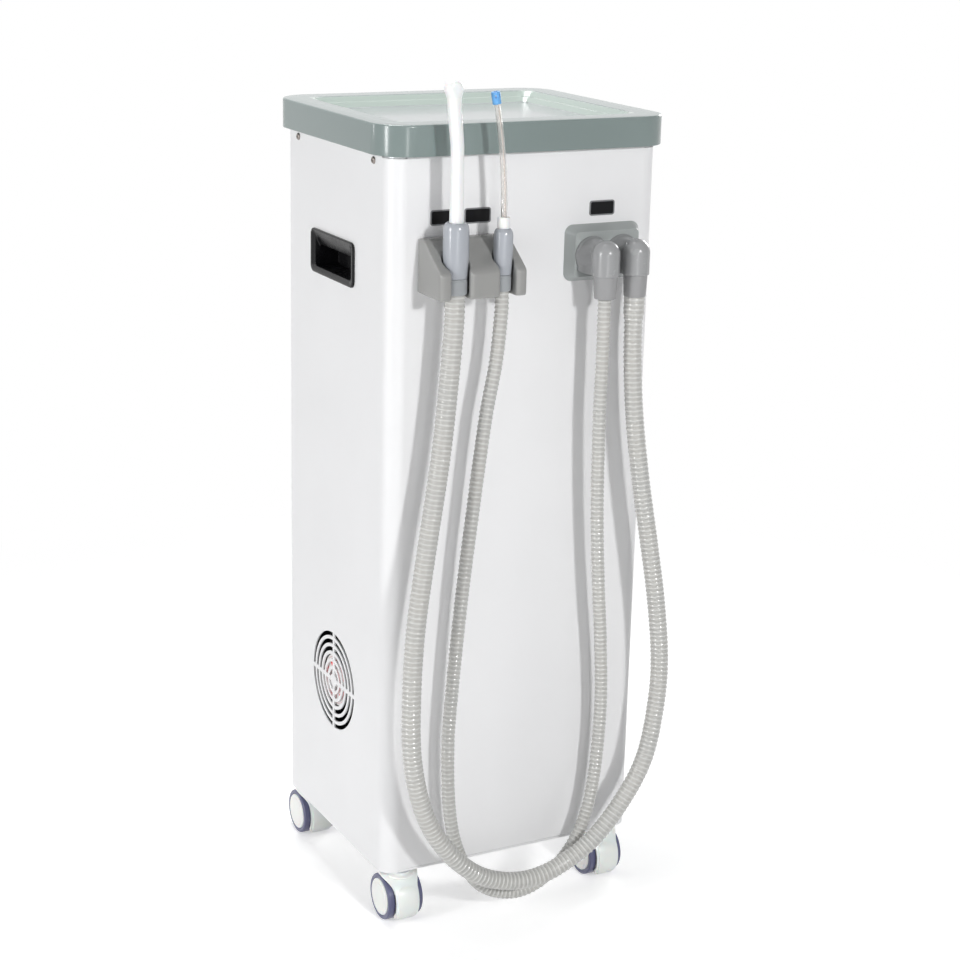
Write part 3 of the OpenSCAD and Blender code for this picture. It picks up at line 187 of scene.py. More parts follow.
def fixed(obj):
    """Turns an object's modifiers into plain mesh."""
    mesh = evaluated(obj)
    obj.modifiers.clear()
    obj.data = mesh
    mesh.name = obj.name
    return obj


def joined(name, objects):
    """One object that holds the meshes of several, which go."""
    points, faces = [], []
    for obj in objects:
        start = len(points)
        points += [v.co / MM for v in obj.data.vertices]
        faces += [[start + i for i in f.vertices] for f in obj.data.polygons]
        bpy.data.objects.remove(obj)
    return piece(name, points, faces)


def eased(points, steps=4, loop=False):
    """A profile with its corners rounded. Each point is (a, b) or (a, b, radius)."""
    out = []
    count = len(points)
    for i, p in enumerate(points):
        here = Vector(p[:2])
        if len(p) < 3 or (not loop and i in (0, count - 1)):
            out.append((here.x, here.y))
            continue
        back = Vector(points[i - 1][:2]) - here
        ahead = Vector(points[(i + 1) % count][:2]) - here
        half = max(back.angle(ahead) / 2, 0.02)
        reach = min(p[2] / math.tan(half), 0.49 * back.length, 0.49 * ahead.length)
        a = here + back.normalized() * reach
        b = here + ahead.normalized() * reach
        weight = math.sin(half)
        for k in range(steps + 1):
            t = k / steps
            u, v, w = (1 - t) ** 2, 2 * t * (1 - t) * weight, t * t
            q = (a * u + here * v + b * w) / (u + v + w)
            out.append((q.x, q.y))
    return out


def turned(name, profile, place=None, sides=64, loop=False, sharp=38.0):
    """A turned piece from (radius, height) points. Radius 0 makes a pole, and loop closes a bored one."""
    points, rows, faces = [], [], []
    for r, z in profile:
        if r < 1e-6:
            rows.append([len(points)])
            points.append((0, 0, z))
        else:
            rows.append(list(range(len(points), len(points) + sides)))
            points += [(r * math.cos(math.tau * k / sides), r * math.sin(math.tau * k / sides), z)
                       for k in range(sides)]
    pairs = list(zip(rows, rows[1:] + rows[:1])) if loop else list(zip(rows, rows[1:]))
    for low, high in pairs:
        for k in range(sides):
            n = (k + 1) % sides
            if len(low) == 1 and len(high) > 1:
                faces.append((low[0], high[n], high[k]))
            elif len(high) == 1 and len(low) > 1:
                faces.append((low[k], low[n], high[0]))
            elif len(low) > 1:
                faces.append((low[k], low[n], high[n], high[k]))
    return smooth(piece(name, points, faces, place), sharp)


def skinned(name, rings, loop=False, place=None, sharp=38.0):
    """A skin over rings of equally many points, closed at its ends or back to its start."""
    count = len(rings[0])
    points = [p for ring in rings for p in ring]
    faces = []
    for i in range(len(rings) if loop else len(rings) - 1):
        a, b = i * count, ((i + 1) % len(rings)) * count
        for k in range(count):
            n = (k + 1) % count
            faces.append((a + k, a + n, b + n, b + k))
    if not loop:
        faces.append(tuple(reversed(range(count))))
        faces.append(tuple(range(len(points) - count, len(points))))
    return smooth(piece(name, points, faces, place), sharp)


def corner_ring(w, d, r, z, steps=10, x=0.0, y=0.0):
    """Points round a rectangle with round corners, at one height."""
    out = []
    for k, (sx, sy) in enumerate(((1, 1), (-1, 1), (-1, -1), (1, -1))):
        for i in range(steps + 1):
            a = math.pi / 2 * (k + i / steps)
            out.append((x + sx * (w / 2 - r) + r * math.cos(a), y + sy * (d / 2 - r) + r * math.sin(a), z))
    return out


def softened(name, node, width, segments=3):
    """A copy of a CAD node with its edges rounded."""
    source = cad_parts[node].data
    obj = piece(name, [v.co / MM for v in source.vertices], [list(p.vertices) for p in source.polygons])
    bm = bmesh.new()
    bm.from_mesh(obj.data)
    bmesh.ops.remove_doubles(bm, verts=bm.verts, dist=1e-6)
    bmesh.ops.dissolve_limit(bm, angle_limit=math.radians(0.8), verts=bm.verts, edges=bm.edges)
    bm.to_mesh(obj.data)
    bm.free()
    obj.data.shade_smooth()
    bevel = obj.modifiers.new("edges", "BEVEL")
    bevel.width = width
    bevel.segments = segments
    bevel.limit_method = "ANGLE"
    bevel.angle_limit = math.radians(30)
    bevel.miter_outer = "MITER_ARC"
    bevel.use_clamp_overlap = True
    weight = obj.modifiers.new("shading", "WEIGHTED_NORMAL")
    weight.keep_sharp = True
    return fixed(obj)


def moulded_together(name, objects, voxel, rounds, share):
    """Closed forms grown into one skin, smoothed in rounds, with a share of its faces kept."""
    obj = joined(name, objects)
    remesh = obj.modifiers.new("one skin", "REMESH")
    remesh.mode = "VOXEL"
    remesh.voxel_size = voxel * MM
    relax = obj.modifiers.new("soft creases", "SMOOTH")
    relax.factor = 0.5
    relax.iterations = rounds
    fewer = obj.modifiers.new("fewer faces", "DECIMATE")
    fewer.ratio = share
    return fixed(obj)


def cut(obj, *cutters):
    """Takes the cutters' forms out of an object."""
    for cutter in cutters:
        take = obj.modifiers.new("cut", "BOOLEAN")
        take.operation = "DIFFERENCE"
        take.solver = "EXACT"
        take.object = cutter
        fixed(obj)
        bpy.data.objects.remove(cutter)
    return obj


def block(x, y, z, place=None):
    """A box about the middle, used as a cutter."""
    corners = [(sx * x / 2, sy * y / 2, sz * z / 2) for sz in (-1, 1) for sy in (-1, 1) for sx in (-1, 1)]
    faces = [(0, 2, 3, 1), (4, 5, 7, 6), (0, 1, 5, 4), (2, 6, 7, 3), (0, 4, 6, 2), (1, 3, 7, 5)]
    return piece("cutter", corners, faces, place)


def shift(x, y, z):
    return Matrix.Translation((x, y, z))


def turn(degrees, axis):
    return Matrix.Rotation(math.radians(degrees), 4, axis)


# Node trees

def plug(tree, value, socket):
    """Links a value that comes from a node, or sets a plain one."""
    value = getattr(value, "socket", value)
    if isinstance(value, bpy.types.NodeSocket):
        tree.links.new(value, socket)
    else:
        socket.default_value = value


def node(tree, kind, inputs=None, **settings):
    """Adds a node, sets its options, and sets or links its inputs."""
    new = tree.nodes.new(kind)
    for key, value in settings.items():
        setattr(new, key, value)
    for key, value in (inputs or {}).items():
        plug(tree, value, new.inputs[key])
    return new


class Value:
    """A number that a node tree works out, used in sums like a plain one."""

    def __init__(self, tree, socket):
        self.tree, self.socket = tree, socket

    def __add__(self, other):
        return maths("ADD", self, other)

    def __sub__(self, other):
        return maths("SUBTRACT", self, other)

    def __rsub__(self, other):
        return maths("SUBTRACT", other, self)

    def __mul__(self, other):
        return maths("MULTIPLY", self, other)

    def __truediv__(self, other):
        return maths("DIVIDE", self, other)

    def __rtruediv__(self, other):
        return maths("DIVIDE", other, self)

    def __abs__(self):
        return maths("ABSOLUTE", self)


def maths(operation, *inputs):
    """One sum in a node tree. At least one of its inputs is a Value."""
    tree = next(v.tree for v in inputs if isinstance(v, Value))
    return Value(tree, node(tree, "ShaderNodeMath", dict(enumerate(inputs)), operation=operation).outputs[0])


def between(value, low, high, start, end):
    """Maps a Value from one range to another and keeps it there."""
    ranges = {"Value": value, "From Min": low, "From Max": high, "To Min": start, "To Max": end}
    return Value(value.tree, node(value.tree, "ShaderNodeMapRange", ranges).outputs[0])


def mixed(share, a, b):
    """A mix of two colours, plain ones or sockets, by a Value."""
    a, b = ((*c, 1) if isinstance(c, tuple) else c for c in (a, b))
    return node(share.tree, "ShaderNodeMix", {0: share, 6: a, 7: b}, data_type="RGBA").outputs[2]


def geometry_tree(name, **kinds):
    """A Geometry Nodes tree with a geometry in and out and named inputs."""
    tree = bpy.data.node_groups.new(name, "GeometryNodeTree")
    for label, kind in {"Geometry": "Geometry", **kinds}.items():
        tree.interface.new_socket(label, in_out="INPUT", socket_type="NodeSocket" + kind)
    tree.interface.new_socket("Geometry", in_out="OUTPUT", socket_type="NodeSocketGeometry")
    return tree, tree.nodes.new("NodeGroupInput").outputs


def end_tree(tree, geometry, material):
    """Ends a tree in real mesh with its material."""
    real = node(tree, "GeometryNodeRealizeInstances", {"Geometry": geometry})
    done = node(tree, "GeometryNodeSetMaterial", {"Geometry": real.outputs[0], "Material": material})
    node(tree, "NodeGroupOutput", {0: done.outputs[0]})


def end_with_form(tree, given, points, **turned_by):
    """Ends a tree that sets one form on every point."""
    form = node(tree, "GeometryNodeObjectInfo", {"Object": given["Form"]}).outputs["Geometry"]
    many = node(tree, "GeometryNodeInstanceOnPoints", {"Points": points, "Instance": form, **turned_by})
    end_tree(tree, many.outputs[0], given["Material"])


def seed(points=(), edges=()):
    """Loose points or a line, in metres, that a tree grows on."""
    mesh = bpy.data.meshes.new("seed")
    mesh.from_pydata(points, edges, [])
    return bpy.data.objects.new("seed", mesh)


def grown(name, start, tree, **values):
    """Runs a tree on a seed and returns a new plain object. The seed goes, and so does a form."""
    bpy.context.scene.collection.objects.link(start)
    modifier = start.modifiers.new("grow", "NODES")
    modifier.node_group = tree
    for s in tree.interface.items_tree:
        if s.in_out == "INPUT" and s.name in values:
            modifier[s.identifier] = values[s.name]
    mesh = evaluated(start)
    mesh.name = name
    for used in (start, values.get("Form")):
        if used:
            bpy.data.objects.remove(used)
    if not mesh.polygons:
        raise RuntimeError(name + " came out empty")
    obj = bpy.data.objects.new(name, mesh)
    bpy.context.scene.collection.objects.link(obj)
    return obj


# Finishes

def emptied(owner):
    """The node tree of a material or a world, cleared."""
    owner.use_nodes = True
    owner.node_tree.nodes.clear()
    return owner.node_tree


def toned(colour, share):
    return tuple(min(1.0, c * share) for c in colour)


class Look:
    """A material that varies over the object's own coordinates. Sizes are in millimetres."""

    def __init__(self, name, colour, roughness, **sockets):
        self.material = bpy.data.materials.new(name)
        self.tree = emptied(self.material)
        self.colour = colour
        plain = {key.replace("_", " "): value for key, value in sockets.items()}
        self.shader = node(self.tree, "ShaderNodeBsdfPrincipled",
                           {"Base Color": (*colour, 1), "Roughness": roughness, **plain})
        node(self.tree, "ShaderNodeOutputMaterial", {"Surface": self.shader.outputs[0]})
        self.where = self.place()

    def place(self, stretch=(1, 1, 1), spin=(0, 0, 0)):
        """The object's own coordinates, stretched or turned."""
        where = node(self.tree, "ShaderNodeTexCoord").outputs["Object"]
        return node(self.tree, "ShaderNodeMapping",
                    {"Vector": where, "Scale": stretch, "Rotation": spin}).outputs[0]

    def axes(self):
        apart = node(self.tree, "ShaderNodeSeparateXYZ", {"Vector": self.where})
        return [Value(self.tree, socket) for socket in apart.outputs]

    def cloud(self, size, detail=2.0, roughness=0.5, where=None):
        """Noise whose lumps are about this wide."""
        noise = node(self.tree, "ShaderNodeTexNoise", {"Vector": where or self.where, "Scale": 1000 / size,
                                                       "Detail": detail, "Roughness": roughness})
        return Value(self.tree, noise.outputs[0])

    def patches(self, size, detail=2.0, roughness=0.5):
        """Noise spread over the whole range from 0 to 1."""
        return between(self.cloud(size, detail, roughness), 0.3, 0.7, 0, 1)

    def cells(self, size):
        """Voronoi cells of this width."""
        return node(self.tree, "ShaderNodeTexVoronoi", {"Vector": self.where, "Scale": 1000 / size}).outputs

    def tone(self, share, low, high):
        """The look's colour between a darker and a paler tone of it."""
        return mixed(share, toned(self.colour, low), toned(self.colour, high))

    def relief(self, height, depth, strength=1.0, under=None):
        """A bump of this depth, on top of another if one is given."""
        inputs = {"Height": height, "Distance": depth * MM, "Strength": strength}
        if under is not None:
            inputs["Normal"] = under
        return node(self.tree, "ShaderNodeBump", inputs).outputs[0]

    def wear(self, tint, bump, gloss=None):
        """Gives the shader what varies."""
        for socket, value in (("Base Color", tint), ("Normal", bump), ("Roughness", gloss)):
            if value is not None:
                plug(self.tree, value, self.shader.inputs[socket])


def moulded(name, colour, roughness, grain, depth, mottle, calm, **sockets):
    """Moulded plastic: a faint uneven tone, an uneven gloss and a fine grain, fewer of them if calm."""
    look = Look(name, colour, roughness, **sockets)
    specks = between(look.cloud(2.2, 2, 0.6), 0.62, 0.8, 0, 0.02 if calm else 0.2)
    tint = mixed(specks, look.tone(look.patches(38, 3, 0.55), 1 - mottle, 1 + mottle), toned(colour, 0.8))
    less, more = (0.008, 0.008) if calm else (0.06, 0.08)
    gloss = between(look.cloud(16, 4, 0.6), 0.25, 0.75, roughness - less, roughness + more)
    fine = look.relief(look.cloud(grain, 3, 0.6), depth)
    return look, tint, look.relief(look.cloud(30, 1), 0.015 if calm else 0.06, 0.6, fine), gloss


def plastic(name, colour, roughness, grain, depth, mottle):
    """Moulded plastic with the extras of its slot."""
    slot = name.removesuffix("_finish")
    extra = {}
    if slot in COATED:
        extra.update(Coat_Weight=0.25, Coat_Roughness=0.1)
    if slot in SPECULAR:
        extra["Specular_IOR_Level"] = SPECULAR[slot]
    if slot in WAXY:
        extra.update(Subsurface_Weight=0.15, Subsurface_Scale=0.003)
    look, *varied = moulded(name, colour, roughness, grain, depth, mottle, slot in CALM, **extra)
    look.wear(*varied)


def tray_plastic(name, colour, inner, floor):
    """Glossy moulded plastic, with a paler painted reflection inside the recess."""
    look, tint, bump, gloss = moulded(name, colour, 0.22, 1.6, 0.003, 0.012, True, Coat_Weight=0.3,
                                      Coat_Roughness=0.08)
    x, y, z = look.axes()
    across = abs(x) - (RECESS_WIDE / 2 + 0.2) * MM
    along = abs(y - CABINET_Y * MM) - (RECESS_DEEP / 2 + 0.2) * MM
    inside = between(maths("MAXIMUM", across, along), -0.4 * MM, 0.4 * MM, 1, 0)
    # Painted reflection: inside the recess the tray's colour gives way to paler tones for its sides and
    # floor
    painted_recess_reflection = mixed(between(z, (TRAY_FLOOR + 0.1) * MM, (TRAY_FLOOR + 0.7) * MM, 0, 1), floor, inner)
    look.wear(mixed(inside, tint, painted_recess_reflection), bump, gloss)


def powder_coat(name, colour):
    """Powder coat on sheet steel: orange peel, a faint waviness and a slightly uneven gloss."""
    look = Look(name, colour, 0.4, Coat_Weight=0.12, Coat_Roughness=0.22)
    peel = look.relief(look.cloud(1.3, 2, 0.45), 0.05, 0.7)
    look.wear(look.tone(look.patches(140), 0.975, 1.0), look.relief(look.cloud(90, 1), 0.35, 0.5, peel),
              between(look.cloud(22, 3), 0.25, 0.75, 0.34, 0.48))


def bare_metal(name, colour, roughness=0.3, grain=(60, 60, 600)):
    """Drawn or plated steel with fine scratches along its grain."""
    look = Look(name, colour, roughness, Metallic=1.0)
    lines = look.cloud(1000, 3, 0.6, look.place([1000 / g for g in grain]))
    look.wear(look.tone(look.patches(9, 3), 0.86, 1.05), look.relief(lines, 0.012),
              between(lines, 0.3, 0.7, roughness - 0.08, roughness + 0.14))


def spangled_zinc(name, colour):
    """Hot-dipped zinc: crystals of slightly different tone and gloss."""
    look = Look(name, colour, 0.42, Metallic=1.0)
    apart = node(look.tree, "ShaderNodeSeparateColor", {"Color": look.cells(9)["Color"]})
    level = Value(look.tree, apart.outputs[0])
    look.wear(look.tone(level, 0.82, 0.98), look.relief(look.cloud(3, 3), 0.03),
              between(level, 0, 1, 0.32, 0.52))


def cast_metal(name, colour):
    """Sand-cast aluminium: a pebbly skin, duller in its hollows."""
    look = Look(name, colour, 0.5, Metallic=0.85)
    pebble = Value(look.tree, look.cells(1.6)["Distance"])
    look.wear(look.tone(look.cloud(12, 4), 0.78, 1.1), look.relief(pebble, 0.12, 0.6),
              between(pebble, 0, 0.7, 0.42, 0.62))


def ribbed_hose_skin(name, colour):
    """Thin see-through hose wall: glossier ribs made paler as painted light, over valleys made darker and
    warmer as painted shade, seen by the rib attribute.
    """
    look = Look(name, colour, 0.3, Subsurface_Weight=0.1, Subsurface_Scale=0.003,
                Subsurface_Radius=(1.0, 0.9, 0.8), Coat_Weight=0.6, Coat_Roughness=0.1)
    rib = Value(look.tree, node(look.tree, "ShaderNodeAttribute", attribute_name="rib").outputs["Fac"])
    # Painted shade and light: the valleys darker and warmer, the rib tops paler, for the shade in the
    # grooves and the light on the ribs
    warm = tuple(c * share for c, share in zip(colour, (0.86, 0.84, 0.82)))
    painted_valley_shade = mixed(look.patches(55, 3, 0.6), toned(colour, 0.79), warm)
    look.wear(mixed(rib, painted_valley_shade, toned(colour, 1.08)), look.relief(look.cloud(1.1, 2), 0.02),
              between(rib, 0, 1, 0.42, 0.24))


def clear_plastic(name, colour, roughness=0.08, transmission=0.9):
    """Clear or tinted plastic with faint flow lines."""
    look = Look(name, colour, roughness, Transmission_Weight=transmission, IOR=1.45, Coat_Weight=0.4,
                Coat_Roughness=0.06)
    lines = look.cloud(1000, where=look.place([1000 / s for s in (8, 8, 60)]))
    look.wear(look.tone(lines, 0.93, 1.03), look.relief(lines, 0.03),
              between(lines, 0.3, 0.7, roughness, roughness + 0.1))


def printed_board(name, colour):
    """Lacquered board: tracks a little lighter than the ground between them."""
    look = Look(name, colour, 0.35, Coat_Weight=0.5, Coat_Roughness=0.15)
    brick = node(look.tree, "ShaderNodeTexBrick", {"Vector": look.place(spin=(math.pi / 2, 0, 0)),
                                                   "Scale": 130, "Mortar Size": 0.03})
    tracks = Value(look.tree, brick.outputs["Fac"])
    look.wear(look.tone(tracks, 0.85, 1.5), look.relief(tracks, 0.04))


def fan_badge(name):
    """Pale round sticker on the fan's hub with a broken red ring and no words."""
    look = Look(name, (0.8, 0.78, 0.76), 0.35, Coat_Weight=0.3)
    _, y, z = look.axes()
    y, z = y - CABINET_Y * MM, z - FAN_Z * MM
    away, angle = maths("SQRT", y * y + z * z), maths("ARCTAN2", y, z)

    def ring(radius, half):
        return maths("LESS_THAN", abs(away - radius * MM), half * MM)

    def broken(count, low, turned_by):
        return maths("GREATER_THAN", maths("SINE", (angle + turned_by) * count), low)

    paper = mixed(look.cloud(5, 3), (0.82, 0.8, 0.78), (0.92, 0.9, 0.89))
    paper = mixed(ring(10, 1.6) * broken(9.0, 0.35, 0.3), paper, (0.3, 0.28, 0.29))
    paper = mixed(ring(25.5, 0.35), paper, (0.72, 0.4, 0.42))
    red = ring(19.5, 3.2) * broken(5.0, -0.45, 0.0)
    look.wear(mixed(red, paper, (0.92, 0.02, 0.04)), look.relief(look.cloud(1, 2), 0.01))


# Plastics: colour or its name in the sidebar, roughness, grain, the grain's depth, share of mottling
PLASTICS = {
    "black_plastic": ("black", 0.26, 0.8, 0.02, 0.15),
    "fan_black": ((0.005, 0.005, 0.006), 0.5, 1.0, 0.03, 0.1),
    "switch_black": ((0.011, 0.011, 0.012), 0.22, 1.2, 0.01, 0.1),
    "label_black": ((0.006, 0.006, 0.007), 0.3, 0.6, 0.005, 0.1),
    "label_rim": ("label_rim", 0.35, 0.8, 0.01, 0.04),
    "holder_grey": ("holder", 0.25, 1.4, 0.008, 0.02),
    "handset_grey": ("handset", 0.22, 1.4, 0.005, 0.015),
    "swivel_grey": ("swivel", 0.36, 1.2, 0.02, 0.03),
    "tip_white": ("tip", 0.28, 1.4, 0.02, 0.015),
    "filter_grey": ("filter", 0.32, 0.9, 0.02, 0.03),
    "strainer_white": ((0.7, 0.7, 0.69), 0.4, 0.8, 0.03, 0.05),
    "elbow_grey": ("elbow", 0.27, 1.1, 0.015, 0.02),
    "cuff_grey": ("cuff", 0.45, 0.9, 0.03, 0.03),
    "motor_paint": ((0.09, 0.1, 0.11), 0.38, 1.5, 0.05, 0.1),
    "tank_clear": ((0.62, 0.65, 0.66), 0.3, 2.0, 0.03, 0.03),
    "lid_grey": ((0.25, 0.26, 0.27), 0.42, 0.9, 0.04, 0.05),
    "float_orange": ((0.78, 0.2, 0.03), 0.4, 1.0, 0.03, 0.05),
    "pipe_rubber": ((0.02, 0.02, 0.021), 0.62, 1.2, 0.05, 0.2),
    "caster_white": ("hub", 0.33, 1.2, 0.015, 0.015),
    "caster_tread": ("tread", 0.26, 1.5, 0.02, 0.05),
}
CALM = ("handset_grey", "swivel_grey", "tip_white", "elbow_grey", "caster_white", "caster_tread",
        "label_black", "label_rim", "holder_grey", "filter_grey")
COATED = ("handset_grey", "tip_white", "elbow_grey", "filter_grey")
SPECULAR = {"black_plastic": 0.25, "label_black": 0.14, "fan_black": 0.14}
WAXY = ("tip_white", "caster_white", "strainer_white")

# Other finishes: what makes them, and the values that it takes
OTHERS = {
    "tray_grey": (tray_plastic, "tray", "recess", "recess_floor"),
    "sheet_white": (powder_coat, "sheet"),
    "zinc_steel": (spangled_zinc, (0.62, 0.64, 0.65)),
    "bright_steel": (bare_metal, (0.72, 0.71, 0.69)),
    "stem_steel": (bare_metal, (0.42, 0.43, 0.45), 0.36),
    "screw_steel": (bare_metal, (0.3, 0.27, 0.25), 0.36),
    "wire_steel": (bare_metal, (0.7, 0.6, 0.54), 0.3, (4, 4, 40)),
    "pump_aluminium": (cast_metal, (0.6, 0.6, 0.6)),
    "hose_grey": (ribbed_hose_skin, "hose"),
    "ejector_clear": (clear_plastic, "ejector"),
    "ejector_blue": (clear_plastic, "cap", 0.18, 0.2),
    "board_green": (printed_board, (0.02, 0.14, 0.06)),
    "fan_badge": (fan_badge,),
}


def finish(slot):
    """The material of one slot, made the first time that it is asked for."""
    name = slot + "_finish"
    if name not in bpy.data.materials:
        make, *values = OTHERS.get(slot) or (plastic, *PLASTICS[slot])
        make(name, *(tuple(getattr(colours(), v)) if isinstance(v, str) else v for v in values))
    return bpy.data.materials[name]


def settle(obj, body, slot, *nodes, record_slot=None):
    """Gives a finished piece its material and its body, and hides the CAD nodes that it stands for."""
    obj.data.materials.clear()
    obj.data.materials.append(finish(slot))
    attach(obj, body)
    if nodes:
        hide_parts(*nodes)
    return obj


def refinish(name, slot):
    """Gives a CAD node that keeps its own mesh a finish."""
    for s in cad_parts[name].material_slots:
        s.material = finish(slot)


# Camera, lamps and floor

class Step:
    """What every operator does when it is run."""

    def execute(self, context):
        self.make()
        return {"FINISHED"}


class SUCTION_OT_stage(Step, bpy.types.Operator):
    """Camera at the photograph's angle, soft lamps, a plain floor and a white surround"""
    bl_idname = "suction.stage"
    bl_label = "Stage"

    # Angles in radians, focal length in millimetres and place in metres
    YAW, PITCH, ROLL = 0.486125259, 0.288908629, 0.0236211765
    LENS = 77.614
    PLACE = (-0.98315, -1.88716, 1.07823)

    # Name, place in metres, watts, width and, for an upright strip, height
    LAMPS = (
        ("key", (0.2, -3.0, 1.65), 40, 0.3),
        ("left fill", (-2.6, -0.6, 0.95), 30, 0.45, 1.5),
        ("right fill", (2.6, 1.6, 1.4), 30, 1.2),
        ("top fill", (-0.1, 0.4, 1.95), 12, 0.6),
        ("low fill", (-0.6, -2.6, 0.5), 5, 0.3, 1.0),
        ("left strip", (-2.3, 1.8, 1.2), 7, 0.25, 1.4),
    )
    LIT_MIDDLE = (0, CABINET_Y * MM, 0.42)
    FLOOR_RADIUS = 3200

    def make(self):
        bpy.context.scene.view_settings.view_transform = "Standard"
        self.camera()
        for lamp in self.LAMPS:
            self.lamp(*lamp)
        self.surround()
        self.floor()

    def camera(self):
        yaw, pitch, roll = self.YAW, self.PITCH, self.ROLL
        ahead = Vector((math.sin(yaw) * math.cos(pitch), math.cos(yaw) * math.cos(pitch), -math.sin(pitch)))
        right = Vector((math.cos(yaw), -math.sin(yaw), 0))
        up = right.cross(ahead)
        across = math.cos(roll) * right + math.sin(roll) * up
        upright = math.cos(roll) * up - math.sin(roll) * right
        data = bpy.data.cameras.new("camera")
        data.sensor_width = 36
        data.lens = self.LENS
        data.clip_end = 60
        camera = bpy.data.objects.new("camera", data)
        bpy.context.scene.collection.objects.link(camera)
        camera.matrix_world = shift(*self.PLACE) @ Matrix((across, upright, -ahead)).transposed().to_4x4()
        bpy.context.scene.camera = camera

    def lamp(self, name, at, watts, wide, tall=None):
        """A round lamp, or an upright strip if its height is given."""
        data = bpy.data.lights.new(name, "AREA")
        data.shape = "RECTANGLE" if tall else "DISK"
        data.size = wide
        data.size_y = tall or wide
        data.energy = watts
        lamp = bpy.data.objects.new(name, data)
        bpy.context.scene.collection.objects.link(lamp)
        aim = Vector(self.LIT_MIDDLE) - Vector(at)
        lamp.matrix_world = shift(*at) @ aim.to_track_quat("-Z", "Y").to_matrix().to_4x4()

    def seen(self, tree):
        """1 for the rays that should meet plain white: those of the camera, and mirrored or bent ones."""
        path = node(tree, "ShaderNodeLightPath").outputs
        camera, mirrored, bent = (Value(tree, path["Is " + kind + " Ray"])
                                  for kind in ("Camera", "Glossy", "Transmission"))
        return maths("MAXIMUM", maths("MAXIMUM", camera, mirrored), bent)

    def blend(self, tree, share, a, b):
        """One shader, or another where the share is 1."""
        return node(tree, "ShaderNodeMixShader", {0: share, 1: a, 2: b}).outputs[0]

    def surround(self):
        world = bpy.data.worlds.new("surround")
        bpy.context.scene.world = world
        tree = emptied(world)
        lit, white = (node(tree, "ShaderNodeBackground", {"Color": colour, "Strength": strength}).outputs[0]
                      for colour, strength in (((0.97, 0.985, 1.0, 1), 0.15), ((1, 1, 1, 1), 1.0)))
        node(tree, "ShaderNodeOutputWorld", {"Surface": self.blend(tree, self.seen(tree), lit, white)})

    def floor(self):
        """White to the camera, with the shadow near the unit, and plain paint to the light."""
        angles = [math.tau * k / 64 for k in range(64)]
        ring = [(self.FLOOR_RADIUS * math.cos(a), self.FLOOR_RADIUS * math.sin(a), 0) for a in angles]
        obj = piece("floor", ring, [tuple(range(64))])
        material = bpy.data.materials.new("floor_white")
        tree = emptied(material)
        where = node(tree, "ShaderNodeTexCoord").outputs["Object"]
        away = node(tree, "ShaderNodeVectorMath", {0: where}, operation="LENGTH").outputs["Value"]
        near = between(Value(tree, away), 0.5, 1.3, 0, 1)
        paint = node(tree, "ShaderNodeBsdfDiffuse", {"Color": (0.9, 0.9, 0.9, 1)}).outputs[0]
        lift, plain = (node(tree, "ShaderNodeEmission", {"Color": (1, 1, 1, 1), "Strength": s}).outputs[0]
                       for s in (0.45, 1.0))
        close = node(tree, "ShaderNodeAddShader", {0: paint, 1: lift}).outputs[0]
        shown = self.blend(tree, near, close, plain)
        both = self.blend(tree, self.seen(tree), paint, shown)
        node(tree, "ShaderNodeOutputMaterial", {"Surface": both})
        obj.data.materials.append(material)


# Hoses

def smooth_route(route, steps=8):
    """The route's smooth curve as close points in metres, its first and last legs kept straight."""
    p = [Vector(q) for q in route]
    last = len(p) - 1
    out = [p[0]]
    for i in range(1, last - 1):
        a, b, c, d = p[i - 1], p[i], p[i + 1], p[min(i + 2, last)]
        for k in range(steps):
            t = k / steps
            out.append(0.5 * (2 * b + (c - a) * t + (2 * a - 5 * b + 4 * c - d) * t * t
                              + (3 * b - a - 3 * c + d) * t ** 3))
    out += [p[last - 1], p[last]]
    return [tuple(q * MM) for q in out]


